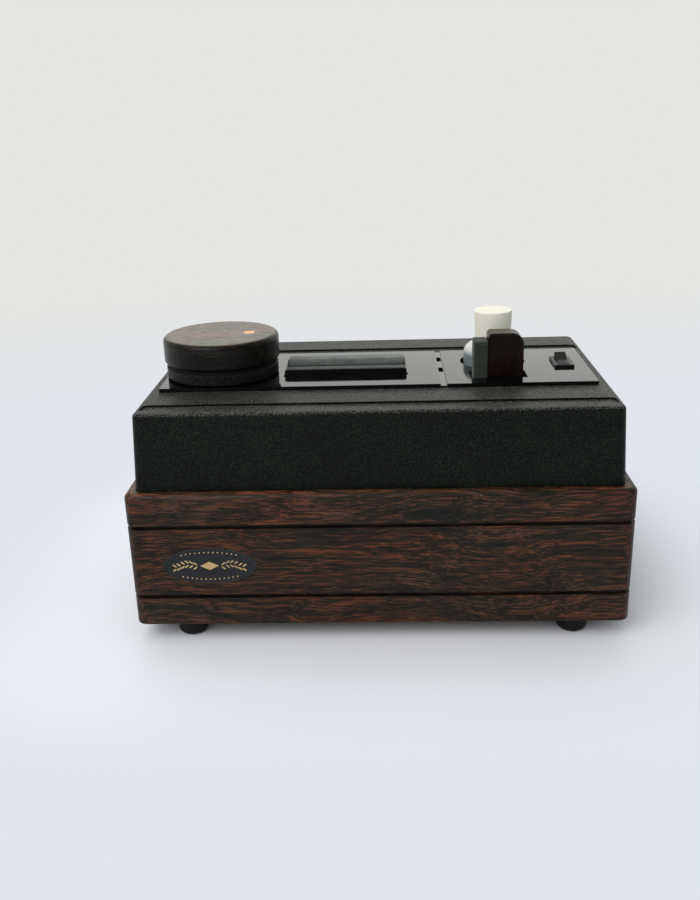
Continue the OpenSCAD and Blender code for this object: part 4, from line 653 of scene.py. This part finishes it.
def make_floor():
    """A pale table top that keeps the shadow near the object and turns into the background farther out."""
    bm = bmesh.new()
    around = ((-1, -1), (1, -1), (1, 1), (-1, 1))
    bm.faces.new([bm.verts.new((x * FLOOR_HALF, y * FLOOR_HALF, 0)) for x, y in around])
    mesh = bpy.data.meshes.new("floor")
    bm.to_mesh(mesh)
    bm.free()
    floor = bpy.data.objects.new("floor", mesh)
    bpy.context.scene.collection.objects.link(floor)
    s = Shade("floor_white", specular_ior_level=0.1, roughness=0.9)
    place = s.place()
    cloud = s.noise(place, 0.004, 2.0)
    s.set("base color", s.ramp(cloud, [(0.3, srgb(233, 236, 242)), (0.7, srgb(238, 240, 245))]))

    half_sizes = (cad_box[1][a] / MM for a in (0, 1))
    off_x, off_y = (s.math("MAXIMUM", s.math("SUBTRACT", s.math("ABSOLUTE", along), half), 0.0)
                    for along, half in zip(s.apart(place), half_sizes))
    off = s.math("SQRT", s.math("ADD", s.math("MULTIPLY", off_x, off_x), s.math("MULTIPLY", off_y, off_y)))
    fade = {"Value": off, "From Min": SHADOW_END[0], "From Max": SHADOW_END[1]}
    far = s.node("ShaderNodeMapRange", fade, interpolation_type="SMOOTHSTEP")
    rays = s.tree.nodes.new("ShaderNodeLightPath")
    seen = s.math("MAXIMUM", s.math("MAXIMUM", rays.outputs["Is Camera Ray"], rays.outputs["Is Glossy Ray"]),
                  rays.outputs["Is Transmission Ray"])
    pale = s.tree.nodes.new("ShaderNodeEmission")
    s.put(pale.inputs["Color"], s.mix(s.span(off, *HAZE_END), HAZE, BACKGROUND))
    blend = s.tree.nodes.new("ShaderNodeMixShader")
    s.put(blend.inputs[0], s.math("MULTIPLY", far, seen))
    s.tree.links.new(s.shader.outputs[0], blend.inputs[1])
    s.tree.links.new(pale.outputs[0], blend.inputs[2])
    s.tree.links.new(blend.outputs[0], s.out.inputs["Surface"])
    mesh.materials.append(s.material)


def make_world():
    """The pale backdrop as the camera sees it; as light, a studio that is bright behind and dim in front."""
    world = bpy.data.worlds.new("studio")
    world.use_nodes = True
    tree = world.node_tree
    tree.nodes.clear()

    def node(kind, *inputs, **settings):
        n = tree.nodes.new(kind)
        for key, value in settings.items():
            setattr(n, key, value)
        for socket, value in zip(n.inputs, inputs):
            if isinstance(value, bpy.types.NodeSocket):
                tree.links.new(value, socket)
            else:
                socket.default_value = value
        return n

    # As light: brighter from behind than from the front, and from the left than from the right
    direction = node("ShaderNodeTexCoord").outputs["Generated"]
    apart = node("ShaderNodeSeparateXYZ", direction)
    behind = node("ShaderNodeMapRange", apart.outputs["Y"], -0.25, 0.5, 0.0, 1.0)
    strength = node("ShaderNodeMapRange", behind.outputs[0], 0.0, 1.0, 0.42, 0.75)
    sideways = node("ShaderNodeMapRange", apart.outputs["X"], -1.0, 1.0, 1.3, 0.7)
    strength = node("ShaderNodeMath", strength.outputs[0], sideways.outputs[0], operation="MULTIPLY")
    # What the camera sees, and mirrors show behind the object, is the plain backdrop
    rays = node("ShaderNodeLightPath").outputs
    mirrored = node("ShaderNodeMath", rays["Is Glossy Ray"], rays["Is Transmission Ray"], operation="MAXIMUM")
    mirrored = node("ShaderNodeMath", mirrored.outputs[0], behind.outputs[0], operation="MULTIPLY")
    share = node("ShaderNodeMath", rays["Is Camera Ray"], mirrored.outputs[0], operation="MAXIMUM")
    lit = node("ShaderNodeBackground", (0.97, 0.99, 1.0, 1), strength.outputs[0])
    seen = node("ShaderNodeBackground", (*BACKGROUND, 1), 1.0)
    mix = node("ShaderNodeMixShader", share.outputs[0], lit.outputs[0], seen.outputs[0])
    node("ShaderNodeOutputWorld", mix.outputs[0])
    bpy.context.scene.world = world


def make_lamp(name, place, aim, size, power, colour=(1, 1, 1)):
    """A flat lamp that faces aim; places and sizes in metres, power in watts."""
    data = bpy.data.lights.new(name, "AREA")
    data.shape = "RECTANGLE"
    data.size, data.size_y = size
    data.energy = power
    data.color = colour
    lamp = bpy.data.objects.new(name, data)
    lamp.location = place
    lamp.rotation_mode = "QUATERNION"
    lamp.rotation_quaternion = (Vector(aim) - Vector(place)).to_track_quat("-Z", "Y")
    lamp.visible_camera = False
    bpy.context.scene.collection.objects.link(lamp)


make_floor()
make_world()
make_lamp("overhead", place=(-0.3, 0.1, 1.6), aim=(0, 0, 0.1), size=(2.0, 1.6), power=6.6, colour=(1, 0.99, 0.97))
make_lamp("rear_panel_light", place=(0, 2.4, 1.35), aim=(0, 0, 0.2), size=(4.0, 1.5), power=12,
          colour=(1, 0.99, 0.96))
make_lamp("front_fill", place=(-0.9, -1.4, 1.4), aim=(0, 0, 0.1), size=(1.6, 1.2), power=24)

bpy.context.scene.view_settings.view_transform = "Standard"
